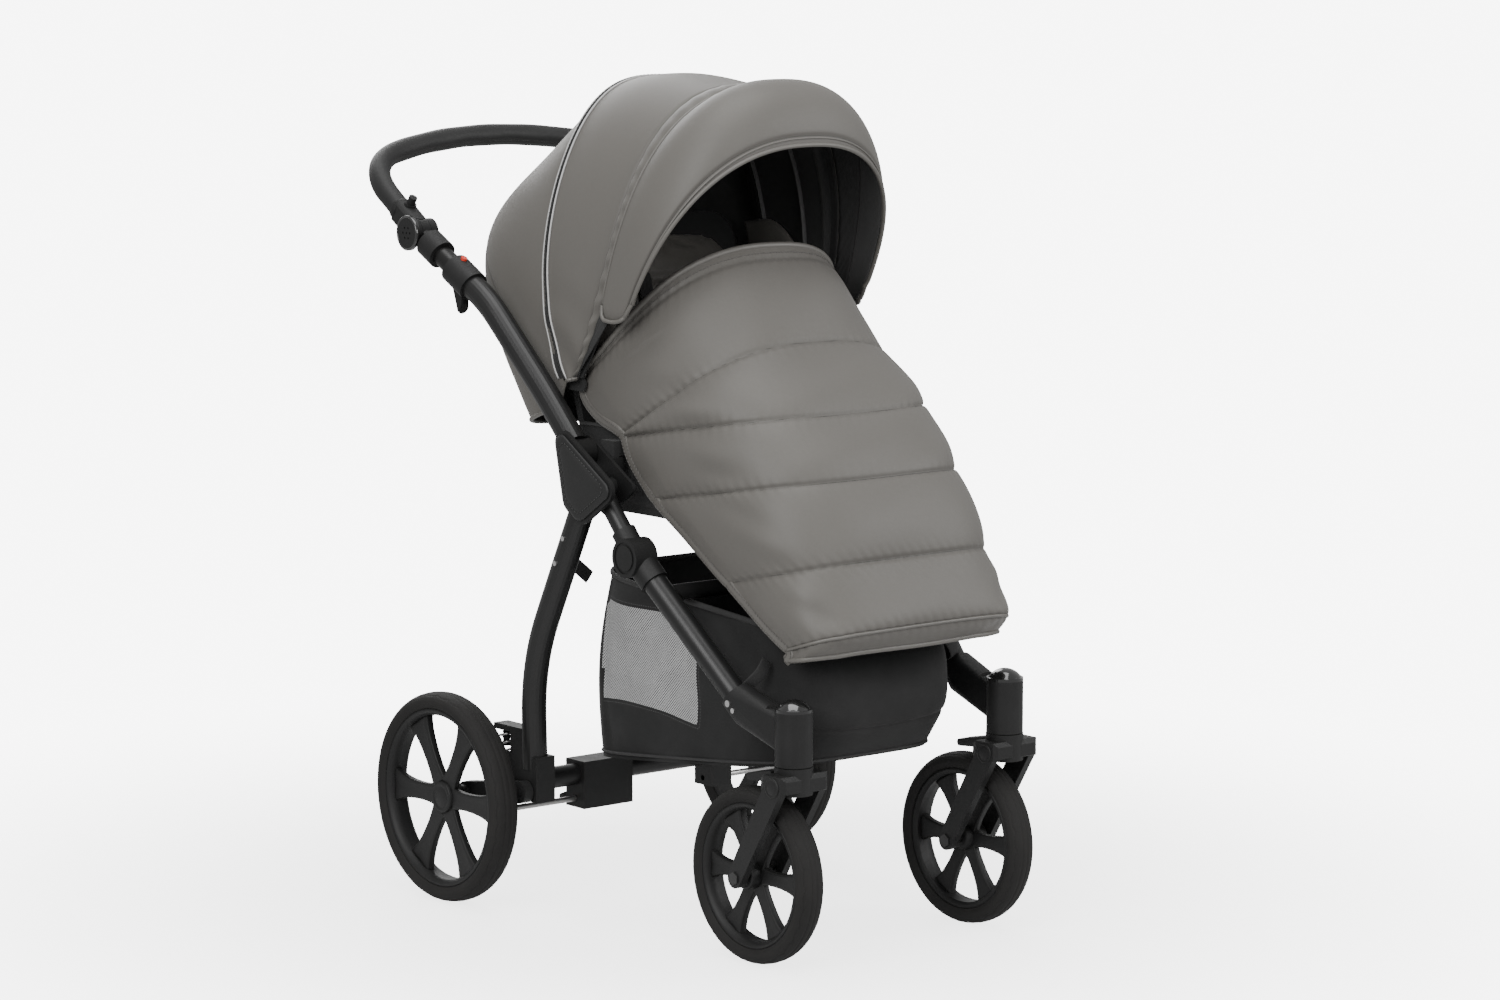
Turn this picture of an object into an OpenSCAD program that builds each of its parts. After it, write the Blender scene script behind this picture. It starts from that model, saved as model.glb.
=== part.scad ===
/* [Wheels] */
// Outer diameter of the rear tyres
rear_wheel_d = 290; // [270:1:310]
// Width of the rear tyres
rear_tyre_w = 44; // [36:1:50]
// Outer diameter of the front tyres
front_wheel_d = 233; // [200:1:250]
// Width of the front tyres
front_tyre_w = 42; // [34:1:46]
// Distance between the rear and front axles
wheelbase = 550; // [500:5:640]
// Distance between the middle planes of the rear wheels
rear_track = 566; // [560:2:620]
// Distance between the two castor axes
castor_track = 365; // [350:1:380]
// How far the front axle trails behind the castor axis
castor_trail = 73; // [60:1:80]
// Number of spokes in each wheel
spokes = 6; // [5:1:8]

/* [Frame] */
// Diameter of the upper side tubes
upper_tube_d = 35; // [32:1:36]
// Diameter of the rear legs
leg_d = 34; // [30:1:36]
// Diameter of the front tubes
front_tube_d = 33; // [28:1:36]
// Diameter of the thin tube between the collar and the handle joint
inner_tube_d = 29; // [24:1:31]
// Height of the pivot that the handle frame folds about
fold_pivot_z = 640; // [630:1:650]
// Height of the pivot that the rear frame folds about
leg_pivot_z = 588; // [582:1:592]
// Height of the hinge axis of the handle
handle_pivot_z = 913; // [890:1:950]
// Radius of the hub pins
hub_pin_r = 5; // [4:0.5:6]
// Radial clearance of every running fit
running_fit = 0.05; // [0.02:0.01:0.1]

/* [Handle] */
// Width of the handle between the centres of its legs
handle_w = 494; // [480:2:510]
// Rearward reach of the handle beyond its hinge
handle_reach = 213; // [180:1:240]
// Slope of the handle above level
handle_slope = 33.7; // [20:0.5:50]
// Diameter of the padded grip
grip_d = 31; // [28:1:36]
// Length of the lock collars
collar_l = 46; // [40:1:50]

/* [Seat] */
// Width of the seat shell
seat_w = 344; // [320:2:348]
// Depth of the seat shell from front to back
seat_depth = 270; // [250:5:280]
// Length of the backrest
back_l = 350; // [320:5:360]
// Lean of the backrest behind upright
back_lean = 17; // [10:1:22]
// Length of the footrest
footrest_l = 175; // [150:5:180]

/* [Canopy and footmuff] */
// Half width of the canopy
canopy_half_w = 203; // [196:1:204]
// Thickness of the canopy panels
canopy_t = 3; // [2.5:0.5:4]
// Half width of the footmuff at its widest
muff_half_w = 191; // [180:1:193]
// Thickness of the quilted footmuff
muff_t = 11; // [8:1:14]

/* [Hidden] */
$fn = 64;
coarse = 32;
gap = 1;

rear_r = rear_wheel_d / 2;
front_r = front_wheel_d / 2;
rear_axle_y = wheelbase / 2;
front_axle_y = -wheelbase / 2;
castor_y = front_axle_y - castor_trail;

// The hub: fold pivot, leg pivot and the spacer between the hub plates.
hub_x = 229;
fold_pivot_y = 40;
leg_pivot_y = 22;
knuckle_w = upper_tube_d - 1;
knuckle_r = 18;
plate_in = hub_x - knuckle_w / 2 - gap;
plate_out = hub_x + knuckle_w / 2 + gap;

// The side tube runs up from the hub, bends, and ends at the handle hinge.
pivot_x = handle_w / 2;
pivot_y = 377;
lower_slope = 45;
upper_slope = 30;
run = pivot_y - fold_pivot_y;
rise = handle_pivot_z - fold_pivot_z;
upper_run = (run * tan(lower_slope) - rise) / (tan(lower_slope) - tan(upper_slope));
bend_y = pivot_y - upper_run;
bend_z = handle_pivot_z - upper_run * tan(upper_slope);
bend_x = hub_x + (pivot_x - hub_x) * (bend_y - fold_pivot_y) / run;
fold_pivot = [-hub_x, fold_pivot_y, fold_pivot_z];
flare_point = [-hub_x, fold_pivot_y + 100 * cos(lower_slope), fold_pivot_z + 100 * sin(lower_slope)];
flare_end = (flare_point + [-bend_x, bend_y, bend_z]) / 2;
bend_point = [-bend_x, bend_y, bend_z];
handle_pivot = [-pivot_x, pivot_y, handle_pivot_z];
collar_mid = 112;
collar_r = upper_tube_d / 2 + 4;
joint_start = 25;
joint_sleeve_l = 32;
eye_r = 19;
eye_w = 14;
stalk_r = 13;
stud_r = 6;

// The front tube, from the disc at its top to the castor bracket.
disc_at = [-222, -74, 512];
front_end = [-castor_track / 2 - 4.5, castor_y + 86, 328];
short_from = [-hub_x, -16, 588];

leg_top = [-hub_x, leg_pivot_y, leg_pivot_z];
leg_bend = [-226, rear_axle_y - 124, 340];
leg_foot = [-222, rear_axle_y - 123, 196];
crossbar_y = rear_axle_y - 95;
crossbar_z = 172;
crossbar_d = 30;
arm_pivot = [rear_axle_y - 125, 166];
arm_x = rear_track / 2 - 45;
bracket_x = 236;
arm_w = 14;
spring_x = 224;
spring_y = rear_axle_y - 60;
spring_turns = 5;
rod_z = 138;
rod_r = 4;
pedal_x = -92;

rim_r = rear_r - 22;
front_rim_r = front_r - 21;
wheel_bore_r = 6;

seat_base_z = 566;
seat_back_y = 105;
recline_y = 95;
recline_z = 606;
footrest_y = seat_back_y - seat_depth - 8;
footrest_z = 560;
footrest_slope = 40;
canopy_pivot_y = 88;
canopy_pivot_z = 724;

handle_back_y = pivot_y + (handle_reach + grip_d / 2) * cos(handle_slope) + 8;
stand_y = (handle_back_y + castor_y - 22 - 24) / 2;

// Each canopy hoop: foot y, foot z, crown y, crown z, half width, squareness, forward bow.
w = canopy_half_w;
rear_hoops = [
    [135, 690, 240, 652, w - 12, 4.5, 0], [122, 700, 290, 722, w - 7, 4.2, 0],
    [114, 708, 342, 805, w - 4, 4, 6], [110, 716, 368, 905, w - 3, 4, 12],
    [108, 720, 338, 975, w - 3, 3.6, 18], [106, 724, 272, 1030, w - 3, 3.2, 24],
    [105, 728, 205, 1088, w - 3, 2.8, 28], [105, 728, 172, 1124, w - 3, 2.5, 30]];
mid_hoops = [
    [104, 729, 165, 1128, w - 2, 2.5, 30], [99, 729, 112, 1132, w - 2, 2.5, 12],
    [95, 730, 52, 1128, w - 2, 2.5, -4], [90, 731, -5, 1122, w - 2, 2.5, -14],
    [84, 733, -57, 1117, w - 2, 2.5, -20]];
visor_hoops = [
    [26, 817, -60, 1119, w, 2.5, 0], [12, 816, -95, 1128, w + 1, 2.5, 0],
    [-4, 815, -128, 1116, w + 1, 2.5, 0], [-20, 818, -150, 1086, w, 2.45, 0],
    [-31, 826, -158, 1047, w - 2, 2.4, 0]];
m = muff_half_w;
muff_hoops = [
    [96, 738, -84, 914, m - 8, 2.6, -12], [92, 706, -132, 852, m - 8, 2.9, 0],
    [54, 681, -173, 791, m - 4, 3.2, 0], [6, 668, -222, 742, m + 2, 3.4, 0],
    [-16, 640, -262, 700, m + 2, 3.6, 0], [-48, 602, -296, 660, m, 3.7, 0],
    [-78, 579, -322, 622, m - 1, 3.8, 0], [-145, 534, -348, 572, m - 4, 3.8, 0],
    [-212, 489, -368, 522, m - 7, 3.8, 0], [-275, 446, -387, 478, m - 11, 3.8, 0],
    [-322, 415, -400, 440, m - 16, 4, 0], [-318, 401, -378, 409, m - 19, 4, 0]];

function bezier(a, c, b, n) = [for (i = [0:n]) let (t = i / n)
    a * pow(1 - t, 2) + c * 2 * t * (1 - t) + b * pow(t, 2)];
function unit(v) = v / norm(v);
function along(a, b, s) = a + unit(b - a) * s;
// A path from a to b whose corner at c is rounded over the length t.
function rounded(a, c, b, t, n = 8) = concat([a], bezier(along(c, a, t), c, along(c, b, t), n), [b]);

// A point of a hoop at u from -1 (right foot) over 0 (crown) to 1 (left foot), t inside its face.
function hoop_point(h, u, t) =
    let (g = pow(cos(90 * u), 2 / h[5]), s = pow(abs(sin(90 * u)), 2 / h[5]),
        d = unit([h[2] - h[0], h[3] - h[1]]) * t,
        bow = h[6] * 6.75 * g * pow(1 - g, 2))
    [sign(u) * (h[4] - t) * s, h[0] + (h[2] - d.x - h[0]) * g + bow,
        h[1] + (h[3] - d.y - h[1]) * g];
function hoop_ring(h, t, n) = concat(
    [for (i = [0:n]) hoop_point(h, 2 * i / n - 1, 0)],
    [for (i = [n:-1:0]) hoop_point(h, 2 * i / n - 1, t)]);

function tri_volume(p, f) = let (a = p[f[0]], b = p[f[1]], c = p[f[2]]) a * cross(b, c);
function total(v, i = 0, s = 0) = i == len(v) ? s : total(v, i + 1, s + v[i]);

// A closed solid through rings of equally many points. Open rings, whose second half
// runs back along the first, are closed at the ends by strips.
module skin(rings, open = false) {
    n = len(rings[0]);
    k = len(rings);
    h = n / 2;
    points = [for (r = rings) for (p = r) p];
    sides = [for (r = [0:k - 2]) for (i = [0:n - 1]) let (j = (i + 1) % n)
        for (f = [[r * n + i, r * n + j, (r + 1) * n + j], [r * n + i, (r + 1) * n + j, (r + 1) * n + i]]) f];
    e = (k - 1) * n;
    ends = open
        ? [for (i = [0:h - 2]) for (f = [[i, n - 1 - i, i + 1], [i + 1, n - 1 - i, n - 2 - i],
            [e + i, e + i + 1, e + n - 1 - i], [e + i + 1, e + n - 2 - i, e + n - 1 - i]]) f]
        : [for (i = [1:n - 2]) for (f = [[0, i + 1, i], [e, e + i, e + i + 1]]) f];
    faces = concat(sides, ends);
    outward = total([for (f = faces) tri_volume(points, f)]) > 0;
    polyhedron(points, outward ? [for (f = faces) [f[2], f[1], f[0]]] : faces);
}
// A round bar of diameter d along a path that never runs along the side vector.
module bar(path, d, n = 20, side = [1, 0, 0]) {
    k = len(path) - 1;
    skin([for (i = [0:k])
        let (t = unit(path[min(i + 1, k)] - path[max(i - 1, 0)]), a = unit(cross(t, side)), b = cross(t, a))
        [for (j = [0:n - 1]) path[i] + (a * cos(360 * j / n) + b * sin(360 * j / n)) * d / 2]]);
}
// A straight true cylinder between two points.
module rod(p, q, d) {
    v = q - p;
    translate(p) rotate([0, acos(v.z / norm(v)), atan2(v.y, v.x)]) cylinder(d = d, h = norm(v));
}
// A cylinder along x at [y, z] between two values of x.
module across(x0, x1, y, z, r, fn = 64) {
    translate([min(x0, x1), y, z]) rotate([0, 90, 0]) cylinder(r = r, h = abs(x1 - x0), $fn = fn);
}
module both() {
    children();
    mirror([1, 0, 0]) children();
}
// Every sub-part is drawn about the middle of the wheelbase and stands in the row's frame here.
module stand() {
    translate([0, -stand_y, 0]) children();
}
module box(x0, x1, y0, y1, z0, z1) {
    translate([x0, y0, z0]) cube([x1 - x0, y1 - y0, z1 - z0]);
}

module front_tube_shape() {
    rod(along(disc_at, front_end, 24), front_end, front_tube_d);
}
module front_tubes() {
    color("#1c1c1d") stand() both() front_tube_shape();
}
module castor_housings() {
    color("#262627") stand() both() {
        difference() {
            union() {
                translate([-castor_track / 2, castor_y, 271]) cylinder(r = 24.5, h = 70);
                hull() {
                    rod(along(front_end, disc_at, 34), along(front_end, disc_at, -2), front_tube_d + 9);
                    translate([-castor_track / 2, castor_y + 8, 288]) cylinder(r = 15, h = 40, $fn = coarse);
                }
            }
            front_tube_shape();
            bracket_rivets();
            rod(along(front_end, disc_at, 30), along(front_end, disc_at, 80), 80);
            translate([-castor_track / 2, castor_y, 260]) cylinder(r = 8 + running_fit, h = 64);
            translate([-castor_track / 2, castor_y, 341]) cylinder(r = 40, h = 60);
        }
    }
}
module castor_caps() {
    color("#101011") stand() both() translate([-castor_track / 2, castor_y, 341]) {
        cylinder(r = 24.5, h = 4);
        translate([0, 0, 4]) intersection() {
            translate([0, 0, -14.5]) sphere(r = 26.5);
            cylinder(r = 23, h = 12);
        }
    }
}
// A rivet whose head stands 1.7 proud of a surface point and whose seat is sunk by 1.
module rivet(p, out, d) {
    rod(p - unit(out), p + unit(out) * 1.7, d);
}
module bracket_rivets() {
    for (r = [[18, 9], [6, 7]])
        rivet(along(front_end, disc_at, r[0]) - [(front_tube_d + 9) / 2, 0, 0], [-1, 0, 0], r[1]);
}
module chassis_rivets() {
    color("#b8b8b8") stand() both() bracket_rivets();
}
module front_crossbar() {
    at = along(disc_at, front_end, 64);
    color("#1c1c1d") stand() difference() {
        across(at.x, -at.x, at.y, at.z, 11, coarse);
        both() front_tube_shape();
    }
}
module short_tube_shape() {
    rod(short_from, along(disc_at, short_from, 20), 25);
}
module short_tubes() {
    color("#1c1c1d") stand() both() difference() {
        short_tube_shape();
        across(-200, -260, leg_pivot_y, leg_pivot_z, knuckle_r + 2);
        spacer();
    }
}
module fold_discs() {
    color("#202021") stand() both() difference() {
        union() {
            across(disc_at.x + 15, disc_at.x - 21, disc_at.y, disc_at.z, 26);
            rod(disc_at, along(disc_at, front_end, 44), front_tube_d + 7);
            rod(disc_at, along(disc_at, short_from, 40), 33);
        }
        front_tube_shape();
        short_tube_shape();
        difference() {
            across(disc_at.x - 19.5, disc_at.x - 30, disc_at.y, disc_at.z, 21);
            across(disc_at.x - 15, disc_at.x - 30, disc_at.y, disc_at.z, 17);
        }
        across(disc_at.x - 21, disc_at.x - 60, disc_at.y, disc_at.z, 60);
    }
}
module spacer() {
    across(-plate_in, -plate_out, -8, 598, 12, coarse);
}
// The pear-shaped outline of the hub, seen from the side.
module hub_outline(inset) {
    hull() {
        translate([fold_pivot_y + 5, fold_pivot_z + 13]) circle(r = 17 - inset, $fn = coarse);
        translate([-44, 599]) circle(r = 17 - inset, $fn = coarse);
        translate([8, 572]) circle(r = 23 - inset, $fn = coarse);
        translate([26, 583]) circle(r = 21 - inset, $fn = coarse);
    }
}
module side_plate(x0, thick, inset) {
    translate([-x0, 0, 0]) rotate([90, 0, -90]) mirror([1, 0, 0]) linear_extrude(thick) hub_outline(inset);
}
module hub_shells() {
    color("#1b1b1c") stand() both() {
        difference() {
            union() {
                side_plate(plate_out, 6, 0);
                side_plate(plate_in - 5, 5, 9);
                spacer();
            }
            pin_shapes();
        }
    }
}
module hub_covers() {
    color("#141414") stand() both() side_plate(plate_out + 6, 4, 5);
}
module pin_shapes() {
    across(-(plate_in - 5), -plate_out, fold_pivot_y, fold_pivot_z, hub_pin_r);
    across(-(plate_in - 5), -plate_out, leg_pivot_y, leg_pivot_z, hub_pin_r);
}
module hub_pins() {
    color("#9a9a9a") stand() both() pin_shapes();
}
socket_y = 14;
module seat_sockets() {
    color("#19191a") stand() both() difference() {
        box(-(plate_in - 5), -189, socket_y - 20, socket_y + 20, 592, 634);
        box(-202, -193, socket_y - 14, socket_y + 14, 596, 640);
    }
}
// The basket is a soft tray between the front tubes and the rear crossbar, with a bulging front.
basket_half_w = 175;
basket_floor_z = 206;
basket_rim_z = 470;
basket_rear_y = crossbar_y - 38;
basket_front_y = front_end.y;
basket_t = 4;
// The ring at one level, from 0 at the floor to 1 at the rim, moved inwards by t.
function tray_ring(level, t) = let (
    rear = basket_rear_y + 24 * sin(180 * level) - 34 * level - t,
    front = basket_front_y - 66 * sin(18 + 144 * level) + t)
    [for (i = [0:35]) let (c = cos(10 * i), s = sin(10 * i),
        f = (1 - sign(s) * pow(abs(s), 0.45)) / 2, across = sign(c) * pow(abs(c), 0.45),
        x = (basket_half_w - 9 * (1 - level) - 15 * f - t) * across,
        low = basket_floor_z + 45 * f, high = basket_rim_z - 36 * f - 34 * f * (1 - across * across))
        [x, rear + (front - rear) * f, low + (high - low) * level]];
module basket() {
    levels = [0, 0.06, 0.2, 0.4, 0.6, 0.8, 1];
    lift = basket_t / 240;
    color("#232324") stand() difference() {
        skin([for (v = levels) tray_ring(v, v == 0 ? 12 : 0)]);
        skin([for (v = levels) tray_ring(v + lift + (v == 1 ? 0.1 : 0), v == 0 ? 16 : basket_t)]);
    }
}

upper_end = collar_mid + 4;
side_path = concat(
    rounded(along(fold_pivot, flare_point, 14), flare_point, flare_end, 40, 4),
    [for (p = rounded(flare_end, bend_point, along(handle_pivot, bend_point, upper_end), 26, 8))
        if (p != flare_end) p]);
module upper_tubes() {
    color("#1d1d1e") stand() both() {
        difference() {
            union() {
                bar(side_path, upper_tube_d, 24);
                across(-hub_x - knuckle_w / 2, -hub_x + knuckle_w / 2, fold_pivot_y, fold_pivot_z, knuckle_r);
            }
            across(-150, -300, fold_pivot_y, fold_pivot_z, hub_pin_r + running_fit);
        }
    }
}
module inner_tube_shape() {
    rod(along(handle_pivot, bend_point, upper_end), along(handle_pivot, bend_point, joint_start + 8),
        inner_tube_d);
}
module inner_tubes() {
    color("#161617") stand() both() inner_tube_shape();
}
module lower_joints() {
    color("#212122") stand() both() difference() {
        union() {
            rod(along(handle_pivot, bend_point, joint_start),
                along(handle_pivot, bend_point, joint_start + joint_sleeve_l), 41);
            intersection() {
                across(-pivot_x - eye_w / 2, -pivot_x + eye_w / 2, pivot_y, handle_pivot_z, 60);
                rod(handle_pivot, along(handle_pivot, bend_point, joint_start + 2), 2 * stalk_r);
            }
            across(-pivot_x - eye_w / 2, -pivot_x + eye_w / 2, pivot_y, handle_pivot_z, eye_r);
        }
        inner_tube_shape();
        across(-150, -300, pivot_y, handle_pivot_z, 6 + running_fit);
    }
}
tube_dir = unit(handle_pivot - bend_point);
tube_up = unit(cross([1, 0, 0], tube_dir));
button_at = along(handle_pivot, bend_point, collar_mid - 12);
module collar(has_button) {
    a = along(handle_pivot, bend_point, collar_mid + collar_l / 2);
    b = along(handle_pivot, bend_point, collar_mid - collar_l / 2);
    difference() {
        union() {
            rod(a, b, 2 * collar_r);
            hull() {
                rod(a + tube_dir * 12 - tube_up * 20, a + tube_dir * 30 - tube_up * 20, 14, $fn = coarse);
                rod(a + tube_dir * 4 - tube_up * 39, a + tube_dir * 8 - tube_up * 39, 16, $fn = coarse);
            }
        }
        rod(a - tube_dir, b + tube_dir, upper_tube_d + 2 * running_fit);
        if (has_button) {
            rod(button_at + tube_up * 18.6, button_at + tube_up * 30, 9 + 2 * running_fit);
        }
    }
}
module lock_collar_right() {
    color("#2a2a2b") stand() collar(true);
}
module lock_collar_left() {
    color("#2a2a2b") stand() mirror([1, 0, 0]) collar(false);
}
module release_button() {
    color("#c0281d") stand() {
        rod(button_at + tube_up * 20.4, button_at + tube_up * 24.5, 9);
    }
}

// The handle lies in a plane through its hinge axis. s runs up that plane.
function handle_point(x, s) = [x, pivot_y + s * cos(handle_slope), handle_pivot_z + s * sin(handle_slope)];
corner_r = 100;
corner_turn = 70;
corner_s = handle_reach - 126;
arch_half = pivot_x - corner_r * (1 - cos(corner_turn));
arch_r = arch_half / cos(corner_turn);
grip_s = 50;
handle_path = concat(
    [handle_point(-pivot_x, grip_s)],
    [for (i = [0:8]) let (a = corner_turn * i / 8)
        handle_point(-pivot_x + corner_r * (1 - cos(a)), corner_s + corner_r * sin(a))],
    [for (i = [-7:7]) let (a = (90 - corner_turn) * i / 8)
        handle_point(arch_r * sin(a), corner_s + corner_r * sin(corner_turn)
            + arch_r * (cos(a) - sin(corner_turn)))],
    [for (i = [8:-1:0]) let (a = corner_turn * i / 8)
        handle_point(pivot_x - corner_r * (1 - cos(a)), corner_s + corner_r * sin(a))],
    [handle_point(pivot_x, grip_s)]);
module handle_tubes() {
    color("#1a1a1b") stand() both()
        rod(handle_point(-pivot_x, joint_start + 6), handle_point(-pivot_x, grip_s), 27);
}
module handle_grip() {
    color("#111112") stand() bar(handle_path, grip_d, 20, [0, -sin(handle_slope), cos(handle_slope)]);
}
module upper_joints() {
    color("#222223") stand() both() difference() {
        union() {
            rod(handle_point(-pivot_x, joint_start), handle_point(-pivot_x, 48), 38);
            difference() {
                union() {
                    rod(handle_point(-pivot_x, 0), handle_point(-pivot_x, joint_start + 2), 38);
                    across(-pivot_x - 15, -pivot_x + 19, pivot_y, handle_pivot_z, 19);
                }
                across(-pivot_x - eye_w / 2 - 0.5, -pivot_x + eye_w / 2 + 0.5, pivot_y, handle_pivot_z,
                    eye_r + 0.7);
            }
            across(-pivot_x - 10, -pivot_x + 10, pivot_y, handle_pivot_z, 6);
        }
        rod(handle_point(-pivot_x, joint_start + 6), handle_point(-pivot_x, grip_s), 27);
        across(-pivot_x - 15, -pivot_x - 60, pivot_y, handle_pivot_z, 60);
    }
}
module tilt_knobs() {
    color("#2c2c2d") stand() both() difference() {
        across(-pivot_x - 15, -pivot_x - 22, pivot_y, handle_pivot_z, 23);
        for (ring = [[1, 0], [6, 8]]) for (i = [1:ring[0]])
            across(-pivot_x - 20.8, -pivot_x - 30, pivot_y + ring[1] * cos(360 * i / ring[0]),
                handle_pivot_z + ring[1] * sin(360 * i / ring[0]), 1.6, 16);
    }
}
module accessory_studs() {
    up = [0, -sin(handle_slope), cos(handle_slope)];
    at = handle_point(-pivot_x, 38);
    color("#141415") stand() both() {
        difference() {
            union() {
                rod(at + up * 15, at + up * 21, 2 * stud_r + 5);
                rod(at + up * 15, at + up * 32, 2 * stud_r);
            }
            rod(handle_point(-pivot_x, joint_start), handle_point(-pivot_x, 48), 38);
        }
    }
}

leg_path = rounded(leg_top, leg_bend, leg_foot, 75, 10);
module leg_shape() {
    bar(leg_path, leg_d, 24);
}
module rear_legs() {
    color("#1b1b1c") stand() both() difference() {
        union() {
            bar(concat([along(leg_top, leg_bend, 12)], [for (i = [1:len(leg_path) - 1]) leg_path[i]]),
                leg_d, 24);
            across(-hub_x - knuckle_w / 2, -hub_x + knuckle_w / 2, leg_pivot_y, leg_pivot_z, knuckle_r);
        }
        across(-150, -300, leg_pivot_y, leg_pivot_z, hub_pin_r + running_fit);
        side_rivets();
    }
}
module side_rivets() {
    for (s = [72, 112]) rivet(along(leg_top, leg_bend, s) - [leg_d / 2, 0, 0], [-1, 0, 0], 7);
}
module leg_rivets() {
    color("#b8b8b8") stand() both() side_rivets();
}
module crossbar_shape() {
    across(-208, 208, crossbar_y, crossbar_z, crossbar_d / 2);
}
module rear_crossbar() {
    color("#1e1e1f") stand() crossbar_shape();
}
module brake_housing() {
    color("#242425") stand() difference() {
        union() {
            box(pedal_x - 42, pedal_x + 42, crossbar_y - 22, crossbar_y + 20, 126, 192);
            box(92, 128, crossbar_y - 20, crossbar_y + 18, 128, 190);
        }
        crossbar_shape();
        across(-260, 260, crossbar_y, rod_z, rod_r + running_fit);
        box(pedal_x - 24, pedal_x + 24, crossbar_y - 2, crossbar_y + 40, 100, 156);
    }
}
module leg_brackets() {
    color("#202021") stand() both() difference() {
        union() {
            box(-bracket_x, -204, leg_foot.y - 20, crossbar_y + 18, 152, 214);
            box(-bracket_x, -212, leg_foot.y - 2, leg_foot.y + 76, 242, 250);
            box(-bracket_x, -230, leg_foot.y - 2, crossbar_y + 10, 205, 250);
            across(-bracket_x, -arm_x - arm_w - 1, arm_pivot[0], arm_pivot[1], wheel_bore_r);
        }
        leg_shape();
        crossbar_shape();
    }
}
module brake_pedal() {
    color("#2b2b2c") stand() difference() {
        union() {
            across(pedal_x - 23, pedal_x + 23, crossbar_y + 12, 146, 8);
            hull() {
                across(pedal_x - 20, pedal_x + 20, crossbar_y + 14, 144, 6, coarse);
                across(pedal_x - 26, pedal_x + 26, crossbar_y + 52, 130, 5, coarse);
            }
        }
        box(pedal_x - 60, pedal_x + 60, crossbar_y - 60, crossbar_y + 7, 100, 200);
    }
}
module brake_rod(side) {
    across(side * 110, side * (arm_x + 17), crossbar_y, rod_z, rod_r);
}
module brake_rod_right() {
    color("#a9a9a9") stand() brake_rod(-1);
}
module brake_rod_left() {
    color("#a9a9a9") stand() brake_rod(1);
}
module axle_arm() {
    difference() {
        union() {
            hull() {
                across(-arm_x, -arm_x - arm_w, arm_pivot[0], arm_pivot[1], 15, coarse);
                across(-arm_x, -arm_x - arm_w, rear_axle_y, rear_r, 17, coarse);
            }
            across(-arm_x - arm_w, -(rear_track / 2 + 4), rear_axle_y, rear_r, wheel_bore_r);
            across(-arm_x - arm_w, -(rear_track / 2 - 22), rear_axle_y, rear_r, 13);
            box(-arm_x - 2, -spring_x + 10, spring_y - 12, spring_y + 12, 162, 170);
        }
        across(-200, -300, arm_pivot[0], arm_pivot[1], wheel_bore_r + running_fit);
    }
}
module axle_arm_right() {
    color("#232324") stand() axle_arm();
}
module axle_arm_left() {
    color("#232324") stand() mirror([1, 0, 0]) axle_arm();
}
module spring() {
    z0 = 172.2;
    z1 = 239.8;
    bar([for (i = [0:spring_turns * 10]) let (a = 36 * i)
        [-spring_x + 8.5 * cos(a), spring_y + 8.5 * sin(a), z0 + (z1 - z0) * i / (spring_turns * 10)]],
        3.4, 6, [0, 0, 1]);
}
module spring_right() {
    color("#8d8d8d") stand() spring();
}
module spring_left() {
    color("#8d8d8d") stand() mirror([1, 0, 0]) spring();
}

// Wheels are drawn about the x axis: rim with flat spokes, and tyre.
// cap_t is the thickness that closes the outer end of the hub, or negative for a through bore.
module wheel_rim(r, width, hub_r, hub_in, hub_out, spoke_t, cap_t) {
    rotate([0, 90, 0]) difference() {
        union() {
            rotate_extrude() polygon([[r - 8, -width / 2 + 4], [r - 8, width / 2 - 4], [r - 5, width / 2],
                [r, width / 2], [r, -width / 2], [r - 5, -width / 2]]);
            translate([0, 0, -hub_in]) cylinder(r = hub_r, h = hub_in + hub_out);
            translate([0, 0, -spoke_t / 2]) linear_extrude(spoke_t) difference() {
                circle(r = r - 6.5);
                for (i = [1:spokes]) rotate(360 * i / spokes) polygon([[hub_r + 4, -2],
                    [r * 0.84, -r * 0.26], [r * 0.88, 0], [r * 0.84, r * 0.26], [hub_r + 4, 2]]);
            }
        }
        translate([0, 0, -100]) cylinder(r = wheel_bore_r + running_fit, h = 100 + hub_out - cap_t);
    }
}
module wheel_tyre(r, rim, width) {
    b = width / 2;
    d = r - rim;
    rotate([0, 90, 0]) rotate_extrude() polygon(concat(
        [[rim, -b * 0.7], [rim, b * 0.7]],
        [for (i = [0:10]) let (a = 90 - 18 * i)
            [rim + d * (0.32 + 0.68 * pow(abs(cos(a)), 0.75)), b * sin(a)]]));
}
module at_rear_wheel(side) {
    stand() translate([side * rear_track / 2, rear_axle_y, rear_r])
        mirror([side < 0 ? 1 : 0, 0, 0]) children();
}
module rear_rim() {
    wheel_rim(rim_r, 32, 21, 20, 10, 10, 4);
}
module rear_rim_right() {
    color("#19191a") at_rear_wheel(-1) rear_rim();
}
module rear_rim_left() {
    color("#19191a") at_rear_wheel(1) rear_rim();
}
module rear_tyre_right() {
    color("#242322") at_rear_wheel(-1) wheel_tyre(rear_r, rim_r, rear_tyre_w);
}
module rear_tyre_left() {
    color("#242322") at_rear_wheel(1) wheel_tyre(rear_r, rim_r, rear_tyre_w);
}

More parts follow.
